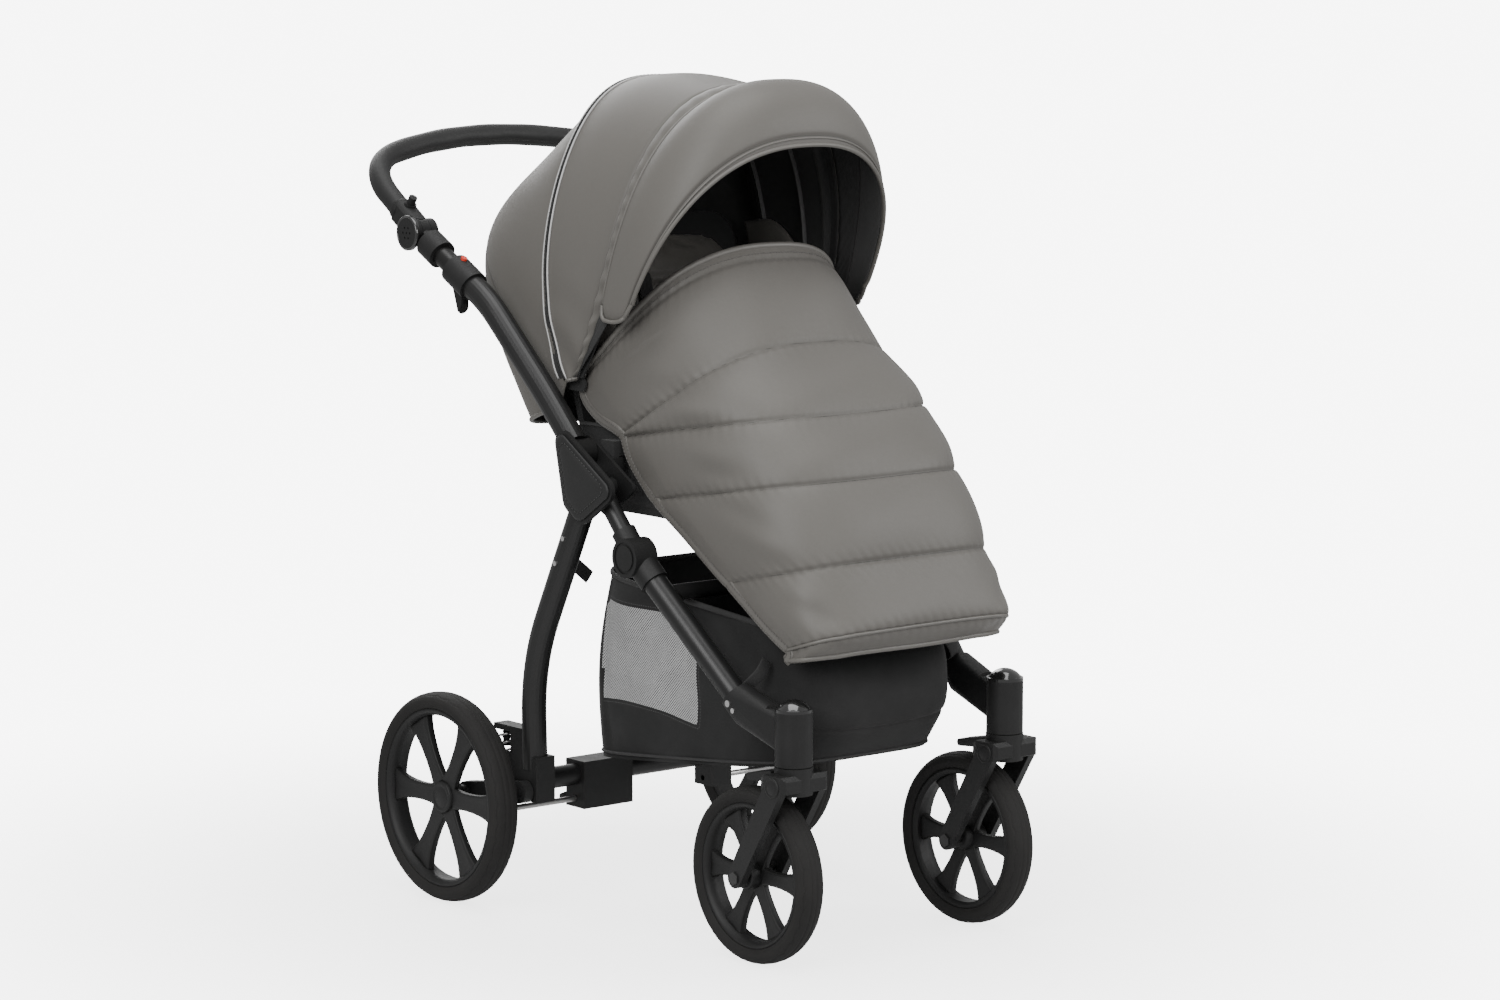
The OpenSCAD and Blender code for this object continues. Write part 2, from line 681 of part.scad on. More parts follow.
// Forks: a crown under the castor housing, two arms and a stem.
fork_in = front_tyre_w / 2 + 7;
fork_t = 11;
module fork() {
    difference() {
        union() {
            translate([0, castor_y, 234]) cylinder(r = 25, h = 36);
            hull() {
                box(-fork_in - fork_t, fork_in + fork_t, castor_y - 20, castor_y + 14, 238, 262);
                box(-fork_in - fork_t + 6, fork_in + fork_t - 6, castor_y - 24, castor_y + 26, 240, 256);
            }
            for (k = [-1, 1]) hull() {
                across(k * fork_in, k * (fork_in + fork_t), castor_y - 4, 246, 16, coarse);
                across(k * fork_in, k * (fork_in + fork_t), front_axle_y, front_r, 13, coarse);
            }
            translate([0, castor_y, 262]) cylinder(r = 8, h = 60);
        }
        across(-60, 60, front_axle_y, front_r, wheel_bore_r);
        across(-fork_in, fork_in, front_axle_y, front_r, front_r + 5);
    }
}
module at_castor(side) {
    stand() translate([side * castor_track / 2, 0, 0]) mirror([side < 0 ? 1 : 0, 0, 0]) children();
}
module fork_right() {
    color("#252526") at_castor(-1) fork();
}
module fork_left() {
    color("#252526") at_castor(1) fork();
}
module axle_bolt() {
    across(-fork_in - fork_t, fork_in + fork_t, front_axle_y, front_r, wheel_bore_r);
    for (k = [-1, 1])
        across(k * (fork_in + fork_t), k * (fork_in + fork_t + 2), front_axle_y, front_r, 9, 6);
}
module axle_bolt_right() {
    color("#6b6b6b") at_castor(-1) axle_bolt();
}
module axle_bolt_left() {
    color("#6b6b6b") at_castor(1) axle_bolt();
}
module swivel_lock() {
    color("#2a2a2b") difference() {
        hull() {
            across(-15, 15, castor_y + 31, 254, 7, coarse);
            across(-12, 12, castor_y + 76, 247, 5, coarse);
        }
        box(-40, 40, castor_y, castor_y + 27.5, 200, 300);
    }
}
module swivel_lock_right() {
    at_castor(-1) swivel_lock();
}
module swivel_lock_left() {
    at_castor(1) swivel_lock();
}
module front_rim() {
    wheel_rim(front_rim_r, 30, 17, fork_in - 3, fork_in - 3, 9, -9);
}
module at_front_wheel(side) {
    at_castor(side) translate([0, front_axle_y, front_r]) children();
}
module front_rim_right() {
    color("#19191a") at_front_wheel(-1) front_rim();
}
module front_rim_left() {
    color("#19191a") at_front_wheel(1) front_rim();
}
module front_tyre_right() {
    color("#242322") at_front_wheel(-1) wheel_tyre(front_r, front_rim_r, front_tyre_w);
}
module front_tyre_left() {
    color("#242322") at_front_wheel(1) wheel_tyre(front_r, front_rim_r, front_tyre_w);
}

// The seat: shell, pads and footrest.
seat_front_y = seat_back_y - seat_depth;
half_seat = seat_w / 2;
module seat_shell() {
    color("#151516") stand() {
        box(-half_seat, half_seat, seat_front_y, seat_back_y, seat_base_z - 8, seat_base_z);
        both() {
            hull() {
                box(-half_seat, -half_seat + 6, seat_front_y + 60, seat_back_y, seat_base_z, seat_base_z + 2);
                box(-half_seat, -half_seat + 6, -40, seat_back_y, 664, 666);
            }
            box(-201.7, -half_seat, socket_y - 13.7, socket_y + 13.7, 636, 656);
            box(-201.7, -193.3, socket_y - 13.7, socket_y + 13.7, 600, 636);
        }
    }
}
module seat_pad() {
    color("#7d7a75") stand() hull() for (x = [-1, 1]) for (y = [seat_front_y + 22, seat_back_y - 49])
        translate([x * (half_seat - 30), y, seat_base_z + 0.4]) cylinder(r = 20, h = 30, $fn = coarse);
}
bow_t = 3;
bow_inset = canopy_t + 3.4;
ear_x = canopy_half_w - bow_inset - bow_t - 4;
module back_frame() {
    translate([0, recline_y, recline_z]) rotate([-back_lean, 0, 0]) children();
}
module backrest() {
    color("#1a1a1b") stand() {
        back_frame() difference() {
            hull() for (x = [-1, 1]) for (z = [-8, back_l - 45])
                translate([x * 118, 6, z]) rotate([-90, 0, 0]) cylinder(r = 42, h = 12, $fn = coarse);
            box(-300, 300, -50, 50, -80, -20);
        }
        both() {
            hull() {
                across(-ear_x, -ear_x + 2.8, canopy_pivot_y + 52, canopy_pivot_z, 9, coarse);
                across(-ear_x, -ear_x + 2.8, canopy_pivot_y, canopy_pivot_z, 10, coarse);
            }
            across(-ear_x, -150, canopy_pivot_y + 60, canopy_pivot_z, 9, coarse);
        }
    }
}
module back_pad() {
    color("#7d7a75") stand() back_frame() hull() for (x = [-1, 1]) for (z = [34, back_l - 48])
        translate([x * 118, -24, z]) rotate([-90, 0, 0]) cylinder(r = 34, h = 29.4, $fn = coarse);
}
module footrest() {
    color("#161617") stand() translate([0, footrest_y, footrest_z]) rotate([footrest_slope, 0, 0])
        hull() for (x = [-1, 1]) for (y = [-footrest_l + 24, -16])
            translate([x * 120, y, -7]) cylinder(r = 16, h = 12, $fn = coarse);
}
module footmuff() {
    color("#8b8883") stand() skin([for (h = muff_hoops) hoop_ring(h, muff_t, 28)], true);
}
module canopy_rear() {
    color("#8b8883") stand() skin([for (h = rear_hoops) hoop_ring(h, canopy_t, 28)], true);
}
module canopy_mid() {
    color("#8b8883") stand() skin([for (h = mid_hoops) hoop_ring(h, canopy_t, 28)], true);
}
module canopy_visor() {
    color("#8b8883") stand() skin([for (h = visor_hoops) hoop_ring(h, canopy_t + 1, 28)], true);
}
// A flat strip bent along a hoop, just inside the fabric.
module bow(h, inset, thick, width) {
    inner = [h[0], h[1], h[2], h[3] - inset, h[4] - inset, h[5], h[6]];
    skin([for (k = [-0.5, 0.5]) [for (p = hoop_ring(inner, thick, 28)) p + [0, k * width, 0]]], true);
}
module canopy_bow() {
    color("#2a2a2a") stand() bow(mid_hoops[0], bow_inset, bow_t, 12);
}
module canopy_front_bow() {
    color("#2a2a2a") stand() bow(mid_hoops[4], bow_inset, bow_t, 12);
}

front_tubes();
castor_housings();
castor_caps();
chassis_rivets();
front_crossbar();
fold_discs();
short_tubes();
hub_shells();
hub_covers();
hub_pins();
seat_sockets();
basket();
upper_tubes();
inner_tubes();
lower_joints();
lock_collar_right();
lock_collar_left();
release_button();
handle_tubes();
handle_grip();
upper_joints();
tilt_knobs();
accessory_studs();
rear_legs();
leg_rivets();
rear_crossbar();
brake_housing();
leg_brackets();
brake_pedal();
brake_rod_right();
brake_rod_left();
axle_arm_right();
axle_arm_left();
spring_right();
spring_left();
rear_rim_right();
rear_rim_left();
rear_tyre_right();
rear_tyre_left();
fork_right();
fork_left();
axle_bolt_right();
axle_bolt_left();
swivel_lock_right();
swivel_lock_left();
front_rim_right();
front_rim_left();
front_tyre_right();
front_tyre_left();
seat_shell();
seat_pad();
footmuff();
footrest();
backrest();
back_pad();
canopy_rear();
canopy_bow();
canopy_mid();
canopy_front_bow();
canopy_visor();
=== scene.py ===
import math

import bpy
import numpy as np
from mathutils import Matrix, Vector


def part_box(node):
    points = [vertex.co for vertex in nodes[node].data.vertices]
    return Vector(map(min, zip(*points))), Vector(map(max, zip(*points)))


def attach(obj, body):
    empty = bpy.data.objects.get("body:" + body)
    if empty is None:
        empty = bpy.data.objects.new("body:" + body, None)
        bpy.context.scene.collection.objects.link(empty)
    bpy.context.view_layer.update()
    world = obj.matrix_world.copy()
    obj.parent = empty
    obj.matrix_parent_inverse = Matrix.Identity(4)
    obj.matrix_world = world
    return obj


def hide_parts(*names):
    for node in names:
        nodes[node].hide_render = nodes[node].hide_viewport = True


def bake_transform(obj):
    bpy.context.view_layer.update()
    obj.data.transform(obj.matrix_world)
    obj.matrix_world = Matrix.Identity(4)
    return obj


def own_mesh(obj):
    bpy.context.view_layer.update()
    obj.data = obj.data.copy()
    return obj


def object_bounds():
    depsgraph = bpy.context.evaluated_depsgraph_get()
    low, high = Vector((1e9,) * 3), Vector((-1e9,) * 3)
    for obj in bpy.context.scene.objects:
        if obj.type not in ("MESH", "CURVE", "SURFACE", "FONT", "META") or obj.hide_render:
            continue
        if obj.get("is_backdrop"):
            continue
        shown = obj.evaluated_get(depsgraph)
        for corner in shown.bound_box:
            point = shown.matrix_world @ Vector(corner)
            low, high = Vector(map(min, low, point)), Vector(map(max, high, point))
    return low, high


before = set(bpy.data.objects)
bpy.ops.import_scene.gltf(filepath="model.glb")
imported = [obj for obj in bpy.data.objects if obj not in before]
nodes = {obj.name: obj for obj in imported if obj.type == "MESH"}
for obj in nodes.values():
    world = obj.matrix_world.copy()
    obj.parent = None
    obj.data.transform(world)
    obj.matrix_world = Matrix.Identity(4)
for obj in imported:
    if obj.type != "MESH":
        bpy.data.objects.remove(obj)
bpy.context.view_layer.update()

# ---- Camera, floor and light -------------------------------------------------------------
# The stroller is seen from its right front at the height of a seated person, on a pale floor,
# under a large soft light from the left and a weaker one from the right.
# All side measures below are in millimetres about the middle of the wheelbase.
rear_axle = 275
wheel_low, wheel_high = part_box("rear_tyre_right")
middle_y = (wheel_low.y + wheel_high.y) / 2 - rear_axle / 1000


def place(points):
    """Millimetres about the middle of the wheelbase to metres in the frame."""
    return np.asarray(points, float) / 1000 + np.array([0, middle_y, 0])


turn, rise = math.radians(39.36), math.radians(7.79)
back = Vector((-math.sin(turn) * math.cos(rise), -math.cos(turn) * math.cos(rise), math.sin(rise)))
camera = bpy.data.objects.new("camera", bpy.data.cameras.new("camera"))
bpy.context.scene.collection.objects.link(camera)
camera.location = place([-3741.4, -4598.8, 1371.5])
camera.rotation_mode = "QUATERNION"
camera.rotation_quaternion = (-back).to_track_quat("-Z", "Y")
camera.data.lens = 106.08
camera.data.sensor_width = 36
camera.data.clip_start, camera.data.clip_end = 0.1, 60
bpy.context.scene.camera = camera


def lamp(name, where, size, power):
    """A square soft light aimed at the seat."""
    light = bpy.data.lights.new(name, "AREA")
    light.size = size
    light.energy = power
    holder = bpy.data.objects.new(name, light)
    bpy.context.scene.collection.objects.link(holder)
    holder.location = where
    holder.rotation_mode = "QUATERNION"
    holder.rotation_quaternion = (Vector((0, 0, 0.6)) - Vector(where)).to_track_quat("-Z", "Y")


lamp("left_softbox", (-3.4, -1.6, 2.4), 2.2, 150)
lamp("right_softbox", (2.8, -3.0, 2.0), 2.0, 95)
lamp("front_softbox", (-0.6, -4.6, 1.9), 1.6, 70)
lamp("back_softbox", (1.2, 3.6, 2.8), 2.6, 110)
lamp("top_softbox", (-0.4, -0.4, 4.2), 3.0, 150)

world = bpy.data.worlds.new("studio")
bpy.context.scene.world = world
world.use_nodes = True


class Wire:
    """A shader socket. Arithmetic on it, and with plain numbers, adds Math nodes."""

    def __init__(self, tree, socket):
        self.tree, self.socket = tree, socket

    def math(self, kind, *values):
        return add_node(self.tree, "ShaderNodeMath", {"operation": kind}, dict(enumerate(values)))

    def __add__(self, other):
        return self.math("ADD", self, other)

    def __sub__(self, other):
        return self.math("SUBTRACT", self, other)

    def __rsub__(self, other):
        return self.math("SUBTRACT", other, self)

    def __mul__(self, other):
        return self.math("MULTIPLY", self, other)

    def sine(self):
        return self.math("SINE", self)

    def size(self):
        return self.math("ABSOLUTE", self)

    def __gt__(self, other):
        return self.math("GREATER_THAN", self, other)

    def __lt__(self, other):
        return self.math("LESS_THAN", self, other)

    __radd__, __rmul__ = __add__, __mul__


def add_node(tree, kind, settings=None, inputs=None, output=0):
    """Adds a node: its settings first, then its sockets by name or number; returns one output."""
    node = tree.nodes.new(kind)
    for name, value in (settings or {}).items():
        if name == "stops":
            for spare in range(len(value) - 2):
                node.color_ramp.elements.new(0.5)
            for stop, (where, colour) in zip(node.color_ramp.elements, value):
                stop.position, stop.color = where, colour
        else:
            setattr(node, name, value)
    for name, value in (inputs or {}).items():
        if isinstance(value, Wire):
            tree.links.new(value.socket, node.inputs[name])
        elif value is not None:
            node.inputs[name].default_value = value
    return Wire(tree, node.outputs[output])


def grey(level, warm=0.0):
    """A colour with the given level, a little redder and less blue by warm."""
    return (level * (1 + warm), level, level * (1 - warm), 1)


def material(name, surface, **constants):
    """A Principled material. surface(tree, coordinates) returns what varies, by socket name;
    Height, with a strength and a depth, becomes a bump on the normal."""
    made = bpy.data.materials.new(name)
    made.use_nodes = True
    tree = made.node_tree
    shader = tree.nodes["Principled BSDF"]
    for key, value in constants.items():
        shader.inputs[key.replace("_", " ")].default_value = value
    where = add_node(tree, "ShaderNodeTexCoord", output="Object")
    for key, value in surface(tree, where).items():
        if key == "Height":
            height, strength, depth = value
            value = add_node(tree, "ShaderNodeBump", {},
                             {"Strength": strength, "Distance": depth, "Height": height})
            key = "Normal"
        tree.links.new(value.socket, shader.inputs[key])
    return made


def noise(tree, where, scale, detail=2.0, roughness=0.5):
    """Fractal noise from 0 to 1 with features of about 1/scale metres."""
    return add_node(tree, "ShaderNodeTexNoise", {},
                    {"Vector": where, "Scale": scale, "Detail": detail, "Roughness": roughness})


def mixed(tree, share, first, second):
    """A colour between two others."""
    return add_node(tree, "ShaderNodeMix", {"data_type": "RGBA"},
                    {"Factor": share, 6: first, 7: second}, output=2)


# The backdrop is lit apart from the stroller: it is seen white, and lights the stroller less.
backdrop = world.node_tree.nodes["Background"]
seen = add_node(world.node_tree, "ShaderNodeLightPath")
world.node_tree.links.new((0.62 + seen * 7.0).socket, backdrop.inputs["Strength"])
backdrop.inputs["Color"].default_value = (1, 1, 1, 1)


def floor_look(tree, where):
    """Pale seamless paper with a barely visible mottling, which runs out into the backdrop."""
    mottle = noise(tree, where, 3.0)
    far = add_node(tree, "ShaderNodeVectorMath", {"operation": "LENGTH"}, {0: where}, output=1)
    fading = add_node(tree, "ShaderNodeMapRange", {"interpolation_type": "SMOOTHSTEP"},
                      {0: far, 1: 0.35, 2: 1.7, 3: 0.62, 4: 0.0})
    return {"Base Color": mixed(tree, mottle, grey(0.86), grey(0.9)),
            "Roughness": 0.55 + mottle * 0.1, "Alpha": fading}


bpy.ops.mesh.primitive_plane_add(size=24)
floor = bpy.context.object
floor.name = "studio_floor"
floor.data.materials.append(material("studio_paper", floor_look))
floor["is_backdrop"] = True


# ---- Painted tubes -----------------------------------------------------------------------
# The frame tubes are bent aluminium with a satin black powder coat.
# The coat has a fine orange peel, faint handling marks and a slow change of sheen.
def powder_look(tree, where):
    """Fine peel from small noise; rubbed streaks raise the gloss where larger noise is high."""
    peel = noise(tree, where, 900, 2)
    rub = noise(tree, where, 14, 5, 0.65)
    marks = noise(tree, where, 140, 6, 0.7)
    return {"Base Color": mixed(tree, rub, grey(0.006), grey(0.0095)),
            "Roughness": 0.27 + rub * 0.14 + marks * 0.06,
            "Height": (peel + marks * 0.3, 0.12, 0.0003)}


powder_coat = material("satin_powder_coat", powder_look, Specular_IOR_Level=0.3)


def finish_nodes(look, *names):
    """Gives CAD nodes one material."""
    for name in names:
        nodes[name].data.materials.clear()
        nodes[name].data.materials.append(look)


finish_nodes(powder_coat, "front_tubes", "front_crossbar", "short_tubes", "upper_tubes",
             "rear_legs", "rear_crossbar", "handle_tubes")


# ---- Moulded plastic fittings ------------------------------------------------------------
# Brackets, joints, collars and forks are injection-moulded nylon with a fine spark texture.
# The texture is duller in the hollows and a little polished where hands and feet rub.
def moulded_look(tree, where):
    """Two sizes of pitting as bump, with slow polish and dust in the colour."""
    pits = add_node(tree, "ShaderNodeTexVoronoi", {}, {"Vector": where, "Scale": 1500.0})
    fine = noise(tree, where, 2600, 2)
    slow = noise(tree, where, 22, 4, 0.6)
    return {"Base Color": mixed(tree, slow, grey(0.006), grey(0.011)),
            "Roughness": 0.4 + slow * 0.16 + fine * 0.06,
            "Height": (pits + fine * 0.6, 0.18, 0.0004)}


moulded = material("spark_textured_nylon", moulded_look, Specular_IOR_Level=0.22)
finish_nodes(moulded, "castor_housings", "hub_shells", "seat_sockets", "lower_joints",
             "lock_collar_right", "lock_collar_left", "upper_joints", "tilt_knobs", "leg_brackets",
             "accessory_studs", "brake_housing", "brake_pedal", "axle_arm_right", "axle_arm_left",
             "fork_right", "fork_left", "swivel_lock_right", "swivel_lock_left", "fold_discs")


# The castor caps and the disc inlays are polished caps snapped into the fittings.
def polished_look(tree, where):
    """Near-mirror black with faint wiping marks in the sheen."""
    wipe = noise(tree, where, 60, 5, 0.7)
    return {"Base Color": mixed(tree, wipe, grey(0.006), grey(0.01)),
            "Roughness": 0.08 + wipe * 0.12,
            "Height": (noise(tree, where, 120, 1), 0.04, 0.0004)}


polished = material("polished_black", polished_look, Coat_Weight=0.6, Coat_Roughness=0.06)
finish_nodes(polished, "castor_caps")


# Rivets, screws, pins and rods are bright zinc or steel, turned, with fine scratches.
def metal_look(level, rough):
    """A look for bright metal: streaky roughness and fine scratches on a level of brightness."""
    def look(tree, where):
        stretched = add_node(tree, "ShaderNodeMapping", {}, {"Vector": where, "Scale": (40, 900, 900)})
        streak = noise(tree, stretched, 1, 3, 0.6)
        stain = noise(tree, where, 90, 4)
        return {"Base Color": mixed(tree, stain, grey(level * 0.75, 0.02), grey(level)),
                "Roughness": rough + streak * 0.15 + stain * 0.08,
                "Height": (streak, 0.1, 0.0002)}
    return look


rivet_metal = material("polished_rivet", metal_look(0.62, 0.14), Metallic=1.0)
zinc = material("zinc_plated_steel", metal_look(0.42, 0.26), Metallic=1.0)
dark_steel = material("blackened_steel", metal_look(0.05, 0.3), Metallic=0.8)
anodised = material("black_anodised", metal_look(0.03, 0.24), Metallic=0.85)
finish_nodes(rivet_metal, "chassis_rivets", "leg_rivets")
finish_nodes(zinc, "hub_pins", "brake_rod_right", "brake_rod_left")
finish_nodes(dark_steel, "axle_bolt_right", "axle_bolt_left")
finish_nodes(anodised, "inner_tubes")


# The release button is moulded red plastic.
def button_look(tree, where):
    """Saturated red with a fine moulded grain."""
    grain = noise(tree, where, 1800, 2)
    slow = noise(tree, where, 200, 2)
    return {"Base Color": mixed(tree, slow, (0.42, 0.022, 0.012, 1), (0.56, 0.04, 0.02, 1)),
            "Roughness": 0.3 + grain * 0.12, "Height": (grain, 0.12, 0.0002)}


finish_nodes(material("red_button", button_look), "release_button")


# ---- Disc inlays, joint rings and fork bosses ---------------------------------------------
# Small turned trim: a domed inlay in each fold disc, a ring round each tilt knob
# and a boss on each fork where its cover is pressed on.
def surface(name, grids, look, outside=None):
    """One object from grids of points. Each is (points[rows, columns, 3], wrap, caps): the
    columns join up if wrap, and caps closes the first and last row. Faces are turned away
    from the point outside() gives, or left as built."""
    verts, faces, start = [], [], 0
    for points, wrap, caps in grids:
        rows, columns = points.shape[:2]
        i = np.arange(rows - 1)[:, None] * columns
        j = np.arange(columns if wrap else columns - 1)[None]
        k = (j + 1) % columns
        quads = np.stack([i + j, i + k, i + columns + k, i + columns + j], -1).reshape(-1, 4)
        flat = points.reshape(-1, 3)
        corner = flat[quads]
        across = np.cross(corner[:, 2] - corner[:, 0], corner[:, 3] - corner[:, 1])
        centre = flat.mean(0) if outside is None else np.asarray(outside)
        flip = np.sum(across * (corner.mean(1) - centre)) < 0
        if wrap and caps:
            flip = np.sum(across * corner.mean(1)) < 0
        shown = [list(q) for q in (quads[:, ::-1] if flip else quads) + start]
        if caps:
            ends = [list(range(start, start + columns))[::-1],
                    list(range(start + (rows - 1) * columns, start + rows * columns))]
            shown += [end[::-1] for end in ends] if flip else ends
        verts.append(flat)
        faces += shown
        start += len(flat)
    mesh = bpy.data.meshes.new(name)
    mesh.from_pydata(np.concatenate(verts), [], faces)
    mesh.polygons.foreach_set("use_smooth", np.ones(len(mesh.polygons), bool))
    mesh.materials.append(look)
    made = bpy.data.objects.new(name, mesh)
    bpy.context.scene.collection.objects.link(made)
    return made


def turned(profile, centre, axis=(1, 0, 0), sides=48):
    """A profile of (radius, height) pairs turned about an axis through the centre, in mm."""
    radius, height = np.array(profile, float).T[:, :, None]
    angle = np.linspace(0, 2 * np.pi, sides, endpoint=False)[None]
    axis = np.asarray(axis, float) / np.linalg.norm(axis)
    first = np.cross(axis, [0.0, 0.3, 1.0])
    first /= np.linalg.norm(first)
    second = np.cross(axis, first)
    ring = (radius[..., None] * (np.cos(angle)[..., None] * first + np.sin(angle)[..., None] * second)
            + height[..., None] * axis)
    return np.asarray(centre, float) + ring


def piece(name, grids, look, body, outside=None, replaces=()):
    """A surface that rides on a body, takes a material slot and may stand for CAD nodes."""
    made = surface(name, grids, look, outside)
    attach(made, body)
    if replaces:
        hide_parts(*replaces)
    return made


def centre_of(node):
    """The middle of a CAD node's box, in mm about the middle of the wheelbase."""
    low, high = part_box(node)
    return (np.array((low + high) / 2) - [0, middle_y, 0]) * 1000


disc_at = np.array([-222.0, -74, 512])
disc_out = 237
inlay = [(0.02, 3.2), (5, 3.1), (9, 2.7), (12, 1.9), (13.2, 1.0), (13.6, 1.7), (15.4, 1.7), (16.2, 0.2),
         (16.2, -2)]
piece("disc_inlays", [(place(turned(inlay, [side * disc_out, disc_at[1], disc_at[2]], (side, 0, 0))),
                       True, True) for side in (-1, 1)], polished, "chassis")

handle_pivot = np.array([247.0, 377, 913])
knob_ring = [(23.2, -6), (24.2, -5), (24.2, 0.2), (22.4, 1.2), (20.6, 0.4), (20.6, -6)]
piece("knob_rings", [(place(turned(knob_ring, handle_pivot * [side, 1, 1] + [side * 21.5, 0, 0],
                                   (side, 0, 0))), True, False) for side in (-1, 1)],
      polished, "handlebar")

castor_x, castor_y = 182.5, -348
fork_out = 39
boss = [(0.02, 1.6), (8, 1.6), (9.5, 0.9), (10.5, 0.9), (11.5, 1.5), (13, 1.2), (13.6, -3)]
for side, name in ((-1, "right"), (1, "left")):
    piece("fork_bosses_" + name,
          [(place(turned(boss, [side * castor_x + out * fork_out, castor_y - 3, 247], (out, 0, 0))),
            True, True) for out in (-1, 1)], moulded, "castor_" + name)


# ---- Padded handle grip -------------------------------------------------------------------
# A foam sleeve covered in black leather-look material, closed by a seam along the inside of the
# bend and finished by a moulded ferrule at each end.
def leather_look(dark, light, grain_scale, depth, rough):
    """A look for coated leather cloth: pebbles from cell edges, creases from warped noise and
    a slow change of colour and sheen."""
    def look(tree, where):
        cells = add_node(tree, "ShaderNodeTexVoronoi", {"feature": "DISTANCE_TO_EDGE"},
                         {"Vector": where, "Scale": grain_scale})
        crease = noise(tree, where, grain_scale * 0.35, 4, 0.6)
        slow = noise(tree, where, 9, 3)
        pore = noise(tree, where, grain_scale * 2.6, 2)
        return {"Base Color": mixed(tree, slow * 0.6 + crease * 0.4, dark, light),
                "Roughness": rough - cells * 0.25 + slow * 0.07 + pore * 0.05,
                "Height": (cells * 1.4 + crease * 0.5 + pore * 0.2, depth, 0.0006)}
    return look


black_leather = material("black_coated_leather",
                         leather_look(grey(0.006), grey(0.011), 620, 0.22, 0.52),
                         Specular_IOR_Level=0.3)


def spline(keys, count):
    """Natural cubic spline through keys at equal steps, at count points: the second
    derivatives solve the tridiagonal system of a smooth beam through the keys."""
    keys = np.asarray(keys, float)
    spans = len(keys) - 1
    matrix = np.diag([1.0] + [4.0] * (spans - 1) + [1.0])
    matrix += np.diag([1.0] * (spans - 1) + [0.0], -1) + np.diag([0.0] + [1.0] * (spans - 1), 1)
    right = np.zeros_like(keys)
    right[1:-1] = 6 * (keys[2:] - 2 * keys[1:-1] + keys[:-2])
    bend = np.linalg.solve(matrix, right)
    t = np.linspace(0, spans, count)
    k = np.minimum(t.astype(int), spans - 1)
    f = (t - k).reshape(-1, *[1] * (keys.ndim - 1))
    a, b, p, q = keys[k], keys[k + 1], bend[k], bend[k + 1]
    return (a + (b - a) * f + (((1 - f) ** 3 - (1 - f)) * p + (f ** 3 - f) * q) / 6)


def evenly(points, count):
    """A line of points resampled at count places equally far apart along it."""
    points = np.asarray(points, float)
    run = np.concatenate([[0], np.cumsum(np.linalg.norm(np.diff(points, axis=0), axis=1))])
    at = np.linspace(0, run[-1], count)
    return np.stack([np.interp(at, run, points[:, k]) for k in range(3)], -1)


def tube(path, radius, reference, sides=16, flat=1.0):
    """Rings about a path. The first axis of each ring is square to the path and the reference,
    the second is square to both, and flat scales the second."""
    path = np.asarray(path, float)
    ahead = np.gradient(path, axis=0)
    ahead /= np.linalg.norm(ahead, axis=1, keepdims=True)
    first = np.cross(ahead, np.broadcast_to(reference, path.shape))
    first /= np.linalg.norm(first, axis=1, keepdims=True)
    second = np.cross(ahead, first)
    angle = np.linspace(0, 2 * np.pi, sides, endpoint=False)[None, :, None]
    radius = np.broadcast_to(radius, len(path)).reshape(-1, 1, 1)
    return path[:, None] + radius * (np.cos(angle) * first[:, None] + flat * np.sin(angle) * second[:, None])


slope = math.radians(33.7)
up_handle = np.array([0, math.cos(slope), math.sin(slope)])
off_handle = np.array([0, -math.sin(slope), math.cos(slope)])
corner_r, corner_turn, reach, grip_start = 100, math.radians(70), 213, 50
corner_s = reach - 126
arch_half = handle_pivot[0] - corner_r * (1 - math.cos(corner_turn))
arch_r = arch_half / math.cos(corner_turn)
leg_s = np.linspace(grip_start, corner_s, 8)[:-1]
corner = np.linspace(0, corner_turn, 30)
arch = np.linspace(corner_turn - np.pi / 2, 0, 40)[1:]
half_x = np.concatenate([np.full(7, -handle_pivot[0]), -handle_pivot[0] + corner_r * (1 - np.cos(corner)),
                         arch_r * np.sin(arch)])
arch_s = corner_s + corner_r * math.sin(corner_turn) + arch_r * (np.cos(arch) - math.sin(corner_turn))
half_s = np.concatenate([leg_s, corner_s + corner_r * np.sin(corner), arch_s])
grip_x = np.concatenate([half_x, -half_x[-2::-1]])
grip_s = np.concatenate([half_s, half_s[-2::-1]])
grip_line = evenly(grip_x[:, None] * [1, 0, 0] + grip_s[:, None] * up_handle
                   + handle_pivot * [0, 1, 1], 420)
grip_r = np.full(420, 15.3)
grip_r[:4] = [12.5, 14.2, 15.0, 15.3]
grip_r[-4:] = grip_r[3::-1]
grip = tube(grip_line, grip_r, off_handle, 40)
around = np.linspace(0, 2 * np.pi, 40, endpoint=False)
puff = 0.35 * np.sin(np.arange(420) * 0.13)[:, None] * np.sin(2 * around + 0.6)[None]
seam_dip = -0.9 * np.exp(-((around + np.pi) % (2 * np.pi) - np.pi) ** 2 / 0.012)[None]
grip += (grip - grip_line[:, None]) / 15.3 * (puff + seam_dip)[..., None]
piece("grip_cover", [(place(grip), True, True)], black_leather, "handlebar",
      replaces=("handle_grip",))
stitch_line = evenly(grip_line + (grip[:, 0] - grip_line) * 1.01, 330)
stitches = [(place(tube(stitch_line[k:k + 2], 0.45, off_handle, 6)), True, True)
            for k in range(2, 328, 2)]
thread_black = material("black_thread", leather_look(grey(0.02), grey(0.035), 1800, 0.3, 0.6))
piece("grip_stitches", stitches, thread_black, "handlebar")
ferrule = [(13.4, -7), (16.4, -6.4), (16.9, -4), (16.9, 1.5), (16.2, 3), (15.2, 3.2)]
